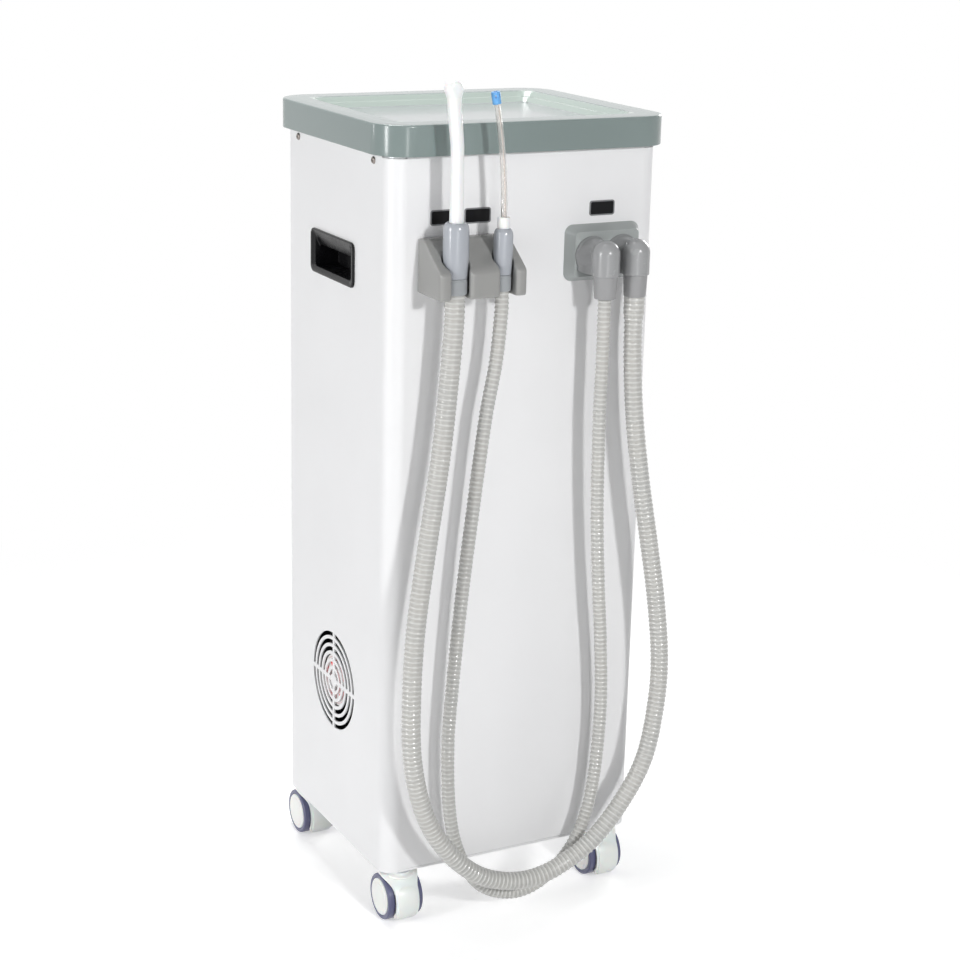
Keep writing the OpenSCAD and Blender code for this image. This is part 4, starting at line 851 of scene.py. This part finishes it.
class SUCTION_OT_hoses(Step, bpy.types.Operator):
    """Two ribbed hoses along their routes, with the cuffs at their upper ends"""
    bl_idname = "suction.hoses"
    bl_label = "Hoses"

    # In metres: the last stretch that is smoother and thicker, where it fades in, and by how much
    CALM_END, CALM_START, SWELL = 0.016, 0.026, 0.0011
    RINGS_PER_RIB = 8

    def make(self):
        tree = self.hose_tree()
        strong_cuff = self.cuff("strong_cuff", STRONG_PORT, 9.4, 11.2, "strong_hose_cuff")
        weak_cuff = self.cuff("weak_cuff", WEAK_PORT, 7.1, 11.0, "weak_hose_cuff")
        self.hose(tree, "strong_ribbed_hose", STRONG_ROUTE, (10.1, 0.06, 1.0), "strong_hose",
                  "strong_handset", strong_cuff, ((-0.143, -0.16, 0.30), (-0.1455, 0, 0.097)))
        self.hose(tree, "weak_ribbed_hose", WEAK_ROUTE, (7.1, 0.03, 0.0), "weak_hose", "weak_handset",
                  weak_cuff, ((-0.09, -0.14, 0.27), (-0.101, 0, 0.0388)))

    def hose_tree(self):
        """Resamples a line, gives each point its radius over the ribs, and sweeps a circle along it."""
        measures = ("Radius", "Taper", "Pitch", "Width", "Depth", "Swell")
        tree, given = geometry_tree("ribbed hose", **dict.fromkeys(measures, "Float"), Rings="Int",
                                    Sides="Int", Material="Material")
        radius, taper, pitch, width, depth, swell = (Value(tree, given[name]) for name in measures)
        line = node(tree, "GeometryNodeMeshToCurve", {0: given["Geometry"]})
        line = node(tree, "GeometryNodeResampleCurve", {"Curve": line.outputs[0], "Count": given["Rings"]})
        along = Value(tree, node(tree, "GeometryNodeSplineParameter").outputs["Length"])
        whole = Value(tree, node(tree, "GeometryNodeSplineLength").outputs["Length"])
        off = abs(maths("FRACT", along / pitch) - 0.5)
        share = maths("MINIMUM", off * 2.0 / (width / pitch), 1.0)
        bead = maths("SQRT", 1.0 - maths("POWER", share, 2.0))
        calm = between(whole - along, self.CALM_END, self.CALM_START, 1.0, 0.0) * swell
        lower = (1.0 - bead) * (depth * (1.0 - calm * 0.55))
        body = radius * (1.0 - taper * (along / whole))
        marked = node(tree, "GeometryNodeStoreNamedAttribute",
                      {"Geometry": line.outputs[0], "Name": "rib", "Value": bead}, domain="POINT")
        circle = node(tree, "GeometryNodeCurvePrimitiveCircle",
                      {"Resolution": given["Sides"], "Radius": 1.0})
        tube = node(tree, "GeometryNodeCurveToMesh",
                    {"Curve": marked.outputs[0], "Profile Curve": circle.outputs["Curve"],
                     "Scale": body - lower + calm * self.SWELL, "Fill Caps": True})
        end_tree(tree, tube.outputs[0], given["Material"])
        return tree

    def hose(self, tree, name, route, form, cad, handset, cuff, bend):
        radius, taper, swell = form
        path = smooth_route(route)
        total = sum((Vector(b) - Vector(a)).length for a, b in zip(path, path[1:]))
        ribs = round(total / sizes().rib_pitch)
        start = seed(path, [(i, i + 1) for i in range(len(path) - 1)])
        tube = grown(name, start, tree, Radius=radius * MM, Taper=taper, Pitch=total / ribs,
                     Width=sizes().rib_width, Depth=sizes().rib_depth, Swell=swell,
                     Rings=ribs * self.RINGS_PER_RIB + 1, Sides=sizes().hose_sides,
                     Material=finish("hose_grey"))
        tube.data.shade_smooth()
        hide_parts(cad)
        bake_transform(tube)

    def cuff(self, name, x, bore, foot, cad):
        """A rubbery cuff that narrows a little downwards, its rim rounded."""
        profile = eased([(bore, 0.0), (foot - 0.3, 0.0, 0.9), (foot, 1.4, 0.8), (12.1, 20.5, 1.5),
                         (12.1, 22.5), (bore, 22.5)])
        cuff = turned(name, profile, shift(x, ELBOW_Y, CUFF_Z), loop=True)
        return settle(cuff, "cabinet", "cuff_grey", cad)


# Cabinet

class SUCTION_OT_cabinet(Step, bpy.types.Operator):
    """Finishes of the sheet-metal cabinet, its frame and its rear panel"""
    bl_idname = "suction.cabinet"
    bl_label = "Cabinet"

    def make(self):
        for name in ("cabinet_shell", "base_pan", "rear_panel"):
            refinish(name, "sheet_white")
        refinish("top_frame", "zinc_steel")


class SUCTION_OT_tray(Step, bpy.types.Operator):
    """Tray top: a skirt with a round shoulder, a flat rim and a recess with stepped sides"""
    bl_idname = "suction.tray"
    bl_label = "Tray"

    def make(self):
        top, floor, foot = TRAY_TOP, TRAY_FLOOR, TRAY_FOOT
        # How far outside the recess's edge, or inside the tray's, and the height there
        inner = eased([(-15, floor), (-12, floor, 2.0), (-6.6, 836.2, 1.0), (-4.6, 836.7, 1.0),
                       (0, 841.6, 1.2), (2.4, top, 1.2), (6, top)], 4)
        outer = eased([(16, top), (0, top, 1.8), (0, foot, 0.7), (3, foot, 0.7), (3, 839, 2.0), (29, 839),
                       (30, 828, 1.0), (42, 828)], 6)
        rings = [self.level(RECESS_WIDE, RECESS_DEEP, RECESS_CORNER + a, -a, z) for a, z in inner]
        rings.append(self.level(TRAY_WIDE, TRAY_DEEP, TRAY_CORNER - 16, 16, top))
        rings += [self.level(TRAY_WIDE, TRAY_DEEP, max(TRAY_CORNER - a, 6), a, z) for a, z in outer[1:]]
        settle(skinned("tray", rings), "cabinet", "tray_grey", "tray_top")

    def level(self, w, d, r, inset, z):
        return corner_ring(w - 2 * inset, d - 2 * inset, r, z, 14, 0, CABINET_Y)


class SUCTION_OT_labels(Step, bpy.types.Operator):
    """Three bare black plates with a grey rounded rim"""
    bl_idname = "suction.labels"
    bl_label = "Label plates"

    PLACES = (-92.4, -55.8, 84.6)

    def make(self):
        edge = eased([(0, 0), (0, 0.8, 0.35), (1.3, 0.8, 0.3), (1.5, 0.45)], 4)
        settle(smooth(joined("label_rims", self.plates("rim", 29.0, 15.2, 2.8, edge))), "cabinet",
               "label_rim", "label_plates", record_slot="label_black")
        flat = eased([(0, 0.3), (0, 0.62, 0.15), (0.5, 0.66)], 3)
        settle(smooth(joined("label_faces", self.plates("face", 26.3, 12.5, 1.6, flat))), "cabinet",
               "label_black")

    def plates(self, name, w, h, r, profile):
        """One plate at every place, its rings inset by the profile."""
        rings = [corner_ring(w - 2 * a, h - 2 * a, r - a, b, 6) for a, b in profile]
        return [skinned(name, rings, place=shift(x, FRONT, LABEL_Z) @ turn(90, "X")) for x in self.PLACES]


class SUCTION_OT_handles(Step, bpy.types.Operator):
    """The two recessed carry handles"""
    bl_idname = "suction.handles"
    bl_label = "Carry handles"

    def make(self):
        # Rings from the back round the rim into the grip: half width, bottom, top, corner, height
        back, rim = (46.5, -18.25, 18.25, 3), (53.5, -22.75, 22.75, 7)
        rings = [(*back, -28), (*back, 0), (*rim, 0), (*rim, 1.6), (53.3, -22.55, 22.55, 6.8, 2.1),
                 (52.8, -22.05, 22.05, 6.4, 2.4), (52.2, -21.4, 21.7, 6.0, 2.5),
                 (50.0, -18.7, 21.5, 5.5, 2.5), (49.5, -18.2, 21.0, 5.2, 2.2), (44.7, -16.5, 16.9, 4, 0.4)]
        rings += [(44.5, -16.25, top, 3.5, z) for top, z in (
            (6.6, -4.4), (6.0, -4.9), (6.1, -5.6), (7.0, -6.2), (14.5, -9), (16.25, -12))]
        rings += [(44.3, -16.1, 16.1, 3.4, -25.4), (43.0, -15, 15, 3, -26)]
        loops = [corner_ring(2 * a, t - b, r, z, 8, 0, (t + b) / 2) for a, b, t, r, z in rings]
        for side, s in (("left", -1), ("right", 1)):
            place = Matrix(((0, 0, s, s * SIDE), (s, 0, 0, HANDLE_Y), (0, 1, 0, HANDLE_Z), (0, 0, 0, 1)))
            settle(skinned("grip_" + side, loops, place=place, sharp=32), "cabinet", "black_plastic",
                   "carry_handle_" + side)


class SUCTION_OT_screws(Step, bpy.types.Operator):
    """Cross-head screws, one form set on every point"""
    bl_idname = "suction.screws"
    bl_label = "Screws"

    def make(self):
        tree, given = geometry_tree("screws", Form="Object", Material="Material")
        facing = node(tree, "GeometryNodeInputNamedAttribute", {"Name": "facing"}, data_type="FLOAT_VECTOR")
        turned_to = node(tree, "FunctionNodeAlignRotationToVector", {"Vector": facing.outputs[0]}, axis="Z")
        spin = node(tree, "FunctionNodeRandomValue", {"Seed": 4, 2: 0.0, 3: 1.5}, data_type="FLOAT")
        angles = node(tree, "ShaderNodeCombineXYZ", {"Z": spin.outputs[1]})
        both = node(tree, "FunctionNodeRotateRotation", {"Rotation": turned_to.outputs[0],
                                                         "Rotate By": angles.outputs[0]},
                    rotation_space="LOCAL")
        points = node(tree, "GeometryNodeMeshToPoints", {0: given["Geometry"]})
        end_with_form(tree, given, points.outputs[0], Rotation=both.outputs[0])
        # Places in millimetres and directions: two on each side under the tray, four down each edge behind
        spots = [((s * SIDE, CABINET_Y + y * 93, 804.4), (s, 0, 0)) for s in (-1, 1) for y in (-1, 1)]
        spots += [((s * 126, BACK, 80 + k * 710 / 3), (0, 1, 0)) for s in (-1, 1) for k in range(4)]
        start = seed([[v * MM for v in p] for p, _ in spots])
        way = start.data.attributes.new("facing", "FLOAT_VECTOR", "POINT")
        for i, (_, v) in enumerate(spots):
            way.data[i].vector = v
        done = grown("cross_head_screws", start, tree, Form=self.screw(), Material=finish("screw_steel"))
        settle(done, "cabinet", "screw_steel", "panel_screws", record_slot="bright_steel")

    def screw(self):
        """A domed head with a cross recess, on a shank that goes into the sheet."""
        dome = eased([(0, 0), (3.8, 0, 0.2), (3.7, 0.6, 0.5), (2.9, 1.7, 0.8), (0, 2.0)], 3)
        head = turned("screw form", dome, sides=28)
        arm = sizes().screw_cross / MM
        cut(head, block(4.0, arm, 2.4, shift(0, 0, 2.0)), block(arm, 4.0, 2.4, shift(0, 0, 2.0)))
        shank = turned("shank", eased([(0, -6.5), (1.4, -6.5), (1.85, -5.5, 0.2), (1.85, 0.4), (0, 0.4)], 2),
                       sides=16)
        return smooth(joined("screw form", [head, shank]), 30)


class SUCTION_OT_fan(Step, bpy.types.Operator):
    """Cooling fan behind the vent: frame, seven curved blades and a hub with a bare sticker"""
    bl_idname = "suction.fan"
    bl_label = "Cooling fan"

    def make(self):
        settle(softened("fan_housing", "fan_frame", 0.8 * MM), "cabinet", "fan_black", "fan_frame")
        place = shift(FAN_X, CABINET_Y, FAN_Z) @ turn(90, "Y")
        drum = eased([(0, 1.5), (28.4, 1.5, 0.4), (28.7, 2.4, 0.4), (28.7, 20.6, 0.6), (0, 20.6)])
        hub = turned("hub", drum, place, 72)
        tree, given = geometry_tree("fan blades", Form="Object", Count="Int", Material="Material")
        points = node(tree, "GeometryNodePoints", {"Count": given["Count"]})
        index = Value(tree, node(tree, "GeometryNodeInputIndex").outputs[0])
        angles = node(tree, "ShaderNodeCombineXYZ", {"Z": index * (math.tau / Value(tree, given["Count"]))})
        end_with_form(tree, given, points.outputs[0], Rotation=angles.outputs[0])
        blades = grown("blades", seed(), tree, Form=self.blade(), Count=7, Material=finish("fan_black"))
        in_metres = place.copy()
        in_metres.translation = place.translation * MM
        blades.data.transform(in_metres)
        settle(smooth(joined("fan_wheel", [hub, blades])), "fan", "fan_black", "fan_rotor")
        paper = eased([(0, 1.42), (28.1, 1.42, 0.05), (28.2, 1.5), (0, 1.5)])
        settle(turned("fan_sticker", paper, place, 72), "fan", "fan_badge", record_slot="fan_black")

    def blade(self):
        """One blade: a thin curved plate from the hub to the tip, twisted along its length."""
        rows, columns, half = 7, 9, sizes().blade_thick / MM / 2
        top, low = [], []
        for i in range(rows):
            r = 26 + 28.5 * i / (rows - 1)
            twist = math.radians(46 - 14 * i / (rows - 1))
            for k in range(columns):
                u = (k / (columns - 1) - 0.5) * (19 + 5 * i / (rows - 1))
                bow = 2.2 * (1 - (2 * k / (columns - 1) - 1) ** 2)
                angle = u * math.cos(twist) / r + 0.12 * i / (rows - 1)
                z = 11.3 + u * math.sin(twist) * 0.78 + bow
                thin = half * (0.35 + 0.65 * math.sin(math.pi * (k + 0.5) / columns))
                for rowset, offset in ((top, thin), (low, -thin)):
                    rowset.append((r * math.cos(angle), r * math.sin(angle), z + offset))
        count = rows * columns
        faces = []
        for i in range(rows - 1):
            for k in range(columns - 1):
                a = i * columns + k
                faces.append((a, a + 1, a + columns + 1, a + columns))
                faces.append((a + count, a + columns + count, a + columns + 1 + count, a + 1 + count))
        edge = list(range(columns)) + [i * columns + columns - 1 for i in range(1, rows)]
        edge += [(rows - 1) * columns + k for k in range(columns - 2, -1, -1)]
        edge += [i * columns for i in range(rows - 2, 0, -1)]
        for a, b in zip(edge, edge[1:] + edge[:1]):
            faces.append((a, a + count, b + count, b))
        return smooth(piece("blade form", top + low, faces))


# Handsets

class SUCTION_OT_holder(Step, bpy.types.Operator):
    """Two-place handset holder with every edge rounded"""
    bl_idname = "suction.holder"
    bl_label = "Handset holder"

    # In millimetres: the grid that the skin grows on, and a first fine edge that the smoothing widens
    VOXEL, FIRST_EDGE = 0.9, 0.3

    def make(self):
        form = softened("holder_form", "holder_bracket", self.FIRST_EDGE * MM, 1)
        rounds = round(3 * (sizes().holder_round / MM) ** 2)
        skin = moulded_together("handset_holder", [form], self.VOXEL, rounds, 1.0)
        settle(skin, "cabinet", "holder_grey", "holder_bracket")


class SUCTION_OT_handsets(Step, bpy.types.Operator):
    """Bodies and swivels of both handsets, turned from their profiles"""
    bl_idname = "suction.handsets"
    bl_label = "Handsets"

    # Heights over the parked place: where the body starts over its swivel, and the weak body's top
    BODY_FOOT, WEAK_TOP = 15.8, 60.5

    def make(self):
        self.handset("strong", STRONG_X, 12.6, 69, 7.65, 24, 6)
        self.handset("weak", WEAK_X, 9.5, self.WEAK_TOP, 4.55, 12, 3.4)
        socket = eased([(4.5, -11.9), (4.5, 0.05), (6.1, 0.05, 0.5), (6.1, 11, 1.1), (3.3, 11, 0.3),
                        (3.2, 9), (3.15, -11.9)], 4)
        settle(turned("ejector_socket", socket, shift(WEAK_X, PARK_Y, PARK_Z + self.WEAK_TOP), loop=True),
               "weak_handset", "tip_white", "weak_tip_socket")

    def handset(self, name, x, r, tall, hole, deep, bore):
        """A body of radius r with a domed top and the tip's hole in it, on a grooved swivel."""
        start, neck = self.BODY_FOOT, hole + 1.2
        dome = [(neck + (r - neck) * math.cos(a), tall - 8 + 8 * math.sin(a))
                for a in (math.pi / 2 * k / 20 for k in range(20))]
        profile = eased([(bore, start), (r - 1.5, start, 0.3), (r - 1.1, 16.3, 0.3), (r, 37.5, 40)], 6)
        profile += dome + eased([(neck + 0.2, tall - 0.02), (neck, tall, 0.3), (hole, tall, 0.5),
                                 (hole, tall - deep)], 3) + [(bore, tall - deep)]
        body = turned(name + "_body", profile, shift(x, PARK_Y, PARK_Z), 72, True)
        settle(body, name + "_handset", "handset_grey", name + "_handpiece")
        foot = eased([(bore, 0), (r - 1.7, 0, 0.4), (r - 0.9, 1.3, 0.9), (r - 1.0, 13.4, 0.4),
                      (r - 1.35, 13.7, 0.2), (r - 1.35, 14.3, 0.2), (r - 1.1, 14.6, 0.3),
                      (r - 1.2, 15.5, 0.3), (bore + 2, 15.5), (bore + 2, start), (bore, start)], 4)
        settle(turned(name + "_foot", foot, shift(x, PARK_Y, PARK_Z), 72, True), name + "_handset",
               "swivel_grey", name + "_swivel")


class SUCTION_OT_suction_tip(Step, bpy.types.Operator):
    """Wide suction tip: a tube that leans to the side and ends in a flared, flattened, domed head"""
    bl_idname = "suction.suction_tip"
    bl_label = "Suction tip"

    # Height where the tube starts to lean, how far it leans, and the half depth where the head flattens
    LEANS_FROM, LEAN, FLAT = 812, 6.4, 6.8

    def make(self):
        wall = eased([(6.6, 729), (6.9, 729.4, 0.3), (6.9, 753, 9), (6.3, 800, 30), (6.5, 825, 30),
                      (6.75, 850, 30), (6.9, 869.5, 4), (9.1, 876, 3), (9.5, 880.5, 3), (7.6, 884.6, 3.5),
                      (3.5, 886.2, 5), (0.3, 886.25)], 6)
        tip = skinned("wide_tip", [self.ring(z, r) for r, z in wall], sharp=45)
        bore = [(4.9, z) for z in (727, 790, 806, 818, 830, 842, 854)]
        bore += eased([(4.9, 866), (7.4, 876, 3), (7.8, 880, 2), (6, 882.5, 2), (1, 883)], 5)
        oval = eased([(-5, -3.4, 3), (5, -3.4, 3), (5, 3.4, 3), (-5, 3.4, 3)], 5, True)
        mouth = [(x, y + 9) for x, y in oval]
        opening = [[(STRONG_X - 5.9 + x, PARK_Y + reach, 868 + y) for x, y in mouth] for reach in (1, 12)]
        cut(tip, skinned("bore", [self.ring(z, r) for r, z in bore]), skinned("mouth", opening))
        settle(smooth(tip, 45), "strong_handset", "tip_white", "strong_tip")

    def ring(self, z, r):
        """A ring on the tube's middle line, which leans to the side near its end; the head is flattened."""
        rise = max(0.0, z - self.LEANS_FROM)
        lean = self.LEAN * (1 - math.exp(-((rise / 62) ** 1.9) * 1.6))
        out = []
        for k in range(64):
            t = math.tau * k / 64
            y = r * math.sin(t)
            if abs(y) > self.FLAT:
                y = math.copysign(self.FLAT + 1.0 - math.exp(self.FLAT - abs(y)), y)
            out.append((STRONG_X - lean + r * math.cos(t), PARK_Y + y, z))
        return out


class SUCTION_OT_ejector(Step, bpy.types.Operator):
    """Saliva ejector: clear tube with its bending wire, and a slotted blue cap"""
    bl_idname = "suction.ejector"
    bl_label = "Saliva ejector"

    # The bend's radius, its angle in degrees and the height of its middle
    BEND, BENT, BEND_Z = 560, 10.85, 755.5

    def make(self):
        outer = [self.ring(a, h, 3.1) for a, h in self.line()]
        inner = [self.ring(a, h, 2.3) for a, h in reversed(self.line())]
        settle(skinned("clear_tube", outer + inner, loop=True), "weak_handset", "ejector_clear",
               "ejector_tube")
        wire = [self.ring(a, h, 0.45, 1.75, 10) for a, h in self.line()]
        settle(skinned("bending_wire", wire), "weak_handset", "wire_steel", record_slot="bright_steel")
        middle = shift(WEAK_X - self.BEND, PARK_Y, self.BEND_Z)
        place = middle @ turn(-self.BENT, "Y") @ shift(self.BEND, 0, 2)
        profile = eased([(2.2, 0), (4.1, 0, 0.3), (4.35, 0.5, 0.4), (4.4, 11.4, 0.6), (3.9, 11.8, 0.3),
                         (2.2, 11.8, 0.2)], 4)
        cap = turned("slotted_cap", profile, place, 48, True)
        cut(cap, *[block(12, 1.2, 3.0, place @ turn(a, "Z") @ shift(0, 0, 7.5)) for a in (0, 60, 120)])
        settle(smooth(cap, 35), "weak_handset", "ejector_blue", "ejector_cap")

    def line(self):
        """The tube's middle line: degrees along the bend, and how far straight on from there."""
        return [(0, -11), (0, -5.5)] + [(self.BENT * k / 16, 0) for k in range(17)] + [(self.BENT, 4)]

    def ring(self, degrees, h, r, aside=0.0, count=24):
        """A ring round the middle line, or round a line beside it."""
        a = math.radians(degrees)
        side = Vector((math.cos(a), 0, math.sin(a)))
        x, z = WEAK_X - self.BEND - h * math.sin(a), self.BEND_Z + h * math.cos(a)
        centre = Vector((x, PARK_Y - aside, z)) + self.BEND * side
        return [tuple(centre + side * (r * math.cos(math.tau * k / count))
                      + Vector((0, r * math.sin(math.tau * k / count), 0))) for k in range(count)]


# Filter and elbows

class SUCTION_OT_filter(Step, bpy.types.Operator):
    """Filter housing with its drafted plate, and the strainers behind it"""
    bl_idname = "suction.filter"
    bl_label = "Filter housing"

    def make(self):
        box = softened("filter_box", "filter_housing", sizes().plate_round)
        settle(box, "cabinet", "filter_grey", "filter_housing")
        refinish("filter_strainers", "strainer_white")


class SUCTION_OT_elbows(Step, bpy.types.Operator):
    """Two moulded elbows: a thin flange, a narrowing neck and a domed outlet that meets it in a crease"""
    bl_idname = "suction.elbows"
    bl_label = "Elbows"

    # The plate's face; the outlet's radius, the foot of its dome and its distance from that face; the
    # distance from a port to the plane between the two elbows
    PLATE_Y, OUTLET, DOME_FOOT, OUT, MEET = -126, 13.8, 5.2, 28.2, 17.15

    def make(self):
        self.elbow("strong_bend", STRONG_PORT, 1, "strong_elbow")
        self.elbow("weak_bend", WEAK_PORT, -1, "weak_elbow")

    def elbow(self, name, x, side, cad):
        """An elbow about its port, cut flat where it meets the other one."""
        r, low = self.OUTLET, self.DOME_FOOT
        flange = turned("flange", eased([(0, -0.2), (19.2, -0.2), (18.9, 2.9, 0.9), (0, 3.0)]),
                        turn(90, "X"), 96)
        around = [math.tau * k / 72 for k in range(72)]
        neck = skinned("neck", [[(w * math.cos(a), -y, h * math.sin(a)) for a in around] for w, h, y in
                                ((18.6, 18.6, 1), (17.9, 18.1, 4), (12.2, 17.6, 20), (11.2, 17.4, 30))])
        angles = [math.pi / 2 * k / 18 for k in range(1, 18)]
        dome = [(r * math.cos(a), low + r * math.sin(a)) for a in angles]
        drop = turned("drop", [(0, -16.5), (13.7, -16.5), (r, -15.5), (r, low)] + dome + [(0, 19)],
                      shift(0, -self.OUT, 0), 96)
        web = [[(-wide, y, foot), (wide, y, foot), (wide * 0.9, y, 1), (-wide * 0.9, y, 1)]
               for y, wide, foot in ((-2.0, 17.0, -15.0), (-12, 13.9, -16.3), (-self.OUT, 11.0, -16.3))]
        form = moulded_together(name, [flange, neck, drop, skinned("web", web)], 0.5, 3, 0.6)
        form.data.transform(shift(x * MM, self.PLATE_Y * MM, PORT_Z * MM))
        flat = (x - side * self.MEET) * MM
        nearer = max if side > 0 else min
        for v in form.data.vertices:
            v.co.x = nearer(v.co.x, flat)
        settle(smooth(form, 50), "cabinet", "elbow_grey", cad)


# Casters

class SUCTION_OT_casters(Step, bpy.types.Operator):
    """Four twin-wheel casters: hoods with a raised pad, treads and hub discs"""
    bl_idname = "suction.casters"
    bl_label = "Casters"

    # How far the axle trails behind its stem, its height, and where each wheel starts beside the stem
    TRAIL, AXLE_Z, APART = 8, 25, 7

    def make(self):
        refinish("caster_stems", "stem_steel")
        for corner, (x, y) in STEMS.items():
            refinish("caster_axle_" + corner, "bright_steel")
            cad = "caster_hood_" + corner
            stand = shift(x, y, 0)
            shield = self.shell(stand, -46, 98, 26.4, 28.9, (13.5, 20.4), 8, 2, 0.7)
            pad = self.shell(stand, -40, 40, 28, 29.9, (11, 11), 6, 10, 0.35)
            collar = turned("collar", eased([(5.2, 50), (14, 51.5), (14, 52.8, 1), (9.8, 54.4, 2.5),
                                             (9.5, 57.5, 0.5), (5.2, 57.5)], 4), stand, loop=True)
            hood = joined("hood_" + corner, [softened("web", cad, 0.8 * MM, 2), shield, pad, collar])
            settle(smooth(hood, 38), "swivel_" + corner, "caster_white", cad)
            for s, side in ((-1, "left"), (1, "right")):
                place = shift(x + s * self.APART, y + self.TRAIL, self.AXLE_Z) @ turn(90 * s, "Y")
                self.wheel(corner + "_" + side, place)

    def wheel(self, which, place):
        """A tread and the disc in it, from its inner side to its outer one."""
        r = sizes().hub_disc / MM
        tread = eased([(r, 0.4), (r + 0.4, 0.05, 0.4), (25, 0, 3.4), (25, 13, 5.6), (r + 0.6, 12.9, 0.5),
                       (r, 12.2, 0.4)], 7)
        settle(turned("tread_" + which, tread, place, 72, True), "wheel_" + which, "caster_tread",
               "wheel_" + which)
        hub = eased([(3.05, 0.5), (r, 0.5), (r, 12.6), (r - 0.5, 13.3, 0.6), (16.4, 13.85, 0.3),
                     (16.1, 13.6, 0.2), (15.6, 13.6, 0.2), (15.3, 13.95, 0.3), (0, 14.25), (0, 10.2),
                     (3.05, 10.2)], 4)
        settle(turned("disc_" + which, hub, place, 72, True), "wheel_" + which, "caster_white")

    def shell(self, stand, low, high, inner, outer, halves, low_corner, high_corner, edge):
        """A band bent round the axle from low to high degrees above the front, wider over the top."""
        start, whole = math.radians(low), math.radians(high - low) * outer
        stops = [low_corner * (1 - math.cos(math.pi / 2 * k / 8)) for k in range(8)]
        stops += [low_corner + (whole - low_corner - high_corner) * k / 24 for k in range(25)]
        stops += [whole - high_corner * (1 - math.cos(math.pi / 2 * k / 8)) for k in range(7, -1, -1)]
        rings = []
        for s in stops:
            a = start + s / outer
            u = min(max((math.degrees(a) - 30) / 52, 0), 1)
            half = halves[0] + (halves[1] - halves[0]) * u * u * (3 - 2 * u)
            for near, corner in ((s, low_corner), (whole - s, high_corner)):
                if near < corner:
                    half -= corner - math.sqrt(corner ** 2 - (corner - near) ** 2)
            top = outer - edge * (s in (stops[0], stops[-1]))
            side = [(half, inner), (half, top - edge), (half - 0.3 * edge, top - 0.3 * edge),
                    (half - edge, top)]
            ring = side + [(-x, r) for x, r in reversed(side)]
            rings.append([(x, self.TRAIL - r * math.cos(a), self.AXLE_Z + r * math.sin(a)) for x, r in ring])
        return skinned("shell", rings, place=stand)


# Rear and inside

class SUCTION_OT_rear(Step, bpy.types.Operator):
    """Mains inlet, rocker, spigots and the louvre hoods over the cooling slots"""
    bl_idname = "suction.rear"
    bl_label = "Rear"

    def make(self):
        edge = sizes().trim_round
        settle(softened("mains_socket", "power_inlet", edge), "cabinet", "black_plastic", "power_inlet")
        settle(softened("rocker_cap", "power_switch", edge * 0.6), "rocker", "switch_black", "power_switch")
        for name in ("exhaust", "drain"):
            cad = name + "_spigot"
            settle(softened(name + "_barb", cad, edge), "cabinet", "lid_grey", cad)
        self.louvres()

    def louvres(self):
        """Pressed hoods over the sixteen slots, one form set on every point."""
        rings = []
        for k in range(13):
            u = k / 12 * 2 - 1
            out = 0.25 + 2.6 * max(0.0, 1 - abs(u) ** 6) ** 0.5
            rings.append([(u * 29, out * share, z) for share, z in (
                (0, -3.0), (0.55, -2.6), (1, -1.2), (1, 0.4), (0.75, 2.4), (0, 4.6))])
        tree, given = geometry_tree("louvres", Form="Object", Material="Material")
        points = node(tree, "GeometryNodeMeshToPoints", {0: given["Geometry"]})
        end_with_form(tree, given, points.outputs[0])
        spots = [(s * 35 * MM, BACK * MM, (643.5 + 12 * k) * MM) for s in (-1, 1) for k in range(8)]
        done = grown("louvre_hoods", seed(spots), tree, Form=skinned("louvre form", rings),
                     Material=finish("sheet_white"))
        settle(done, "cabinet", "sheet_white")


class SUCTION_OT_inside(Step, bpy.types.Operator):
    """Finishes of the pump, tank, float, pipes and board inside"""
    bl_idname = "suction.inside"
    bl_label = "Inside"

    def make(self):
        for name, slot in (("pump_housing", "pump_aluminium"), ("pump_impeller", "pump_aluminium"),
                           ("pump_motor", "motor_paint"), ("waste_tank", "tank_clear"),
                           ("tank_lid", "lid_grey"), ("tank_float", "float_orange"),
                           ("suction_pipes", "pipe_rubber"), ("control_board", "board_green")):
            refinish(name, slot)


class SUCTION_PT_panel(bpy.types.Panel):
    """The unit's sizes, colours and pieces"""
    bl_idname = "SUCTION_PT_panel"
    bl_label = "Suction unit"
    bl_space_type = "VIEW_3D"
    bl_region_type = "UI"
    bl_category = "Suction unit"

    def draw(self, context):
        for group in (context.scene.suction_sizes, context.scene.suction_colours):
            box = self.layout.box()
            for key in group.bl_rna.properties.keys():
                if key not in ("rna_type", "name"):
                    box.prop(group, key)
        for operator in OPERATORS:
            self.layout.operator(operator.bl_idname)


OPERATORS = (SUCTION_OT_stage, SUCTION_OT_hoses, SUCTION_OT_cabinet, SUCTION_OT_tray, SUCTION_OT_labels,
             SUCTION_OT_handles, SUCTION_OT_screws, SUCTION_OT_fan, SUCTION_OT_holder, SUCTION_OT_handsets,
             SUCTION_OT_suction_tip, SUCTION_OT_ejector, SUCTION_OT_filter, SUCTION_OT_elbows,
             SUCTION_OT_casters, SUCTION_OT_rear, SUCTION_OT_inside)
CLASSES = (SuctionSizes, SuctionColours) + OPERATORS + (SUCTION_PT_panel,)


def register():
    for c in CLASSES:
        bpy.utils.register_class(c)
    bpy.types.Scene.suction_sizes = bpy.props.PointerProperty(type=SuctionSizes)
    bpy.types.Scene.suction_colours = bpy.props.PointerProperty(type=SuctionColours)


def unregister():
    del bpy.types.Scene.suction_colours
    del bpy.types.Scene.suction_sizes
    for c in reversed(CLASSES):
        bpy.utils.unregister_class(c)


def plain(box):
    """A box as plain lists of numbers."""
    return [[float(v) for v in corner] for corner in box]


def main():
    register()
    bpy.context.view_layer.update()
    for operator in OPERATORS:
        group, name = operator.bl_idname.split(".")
        getattr(getattr(bpy.ops, group), name)()


if __name__ == "__main__":
    main()
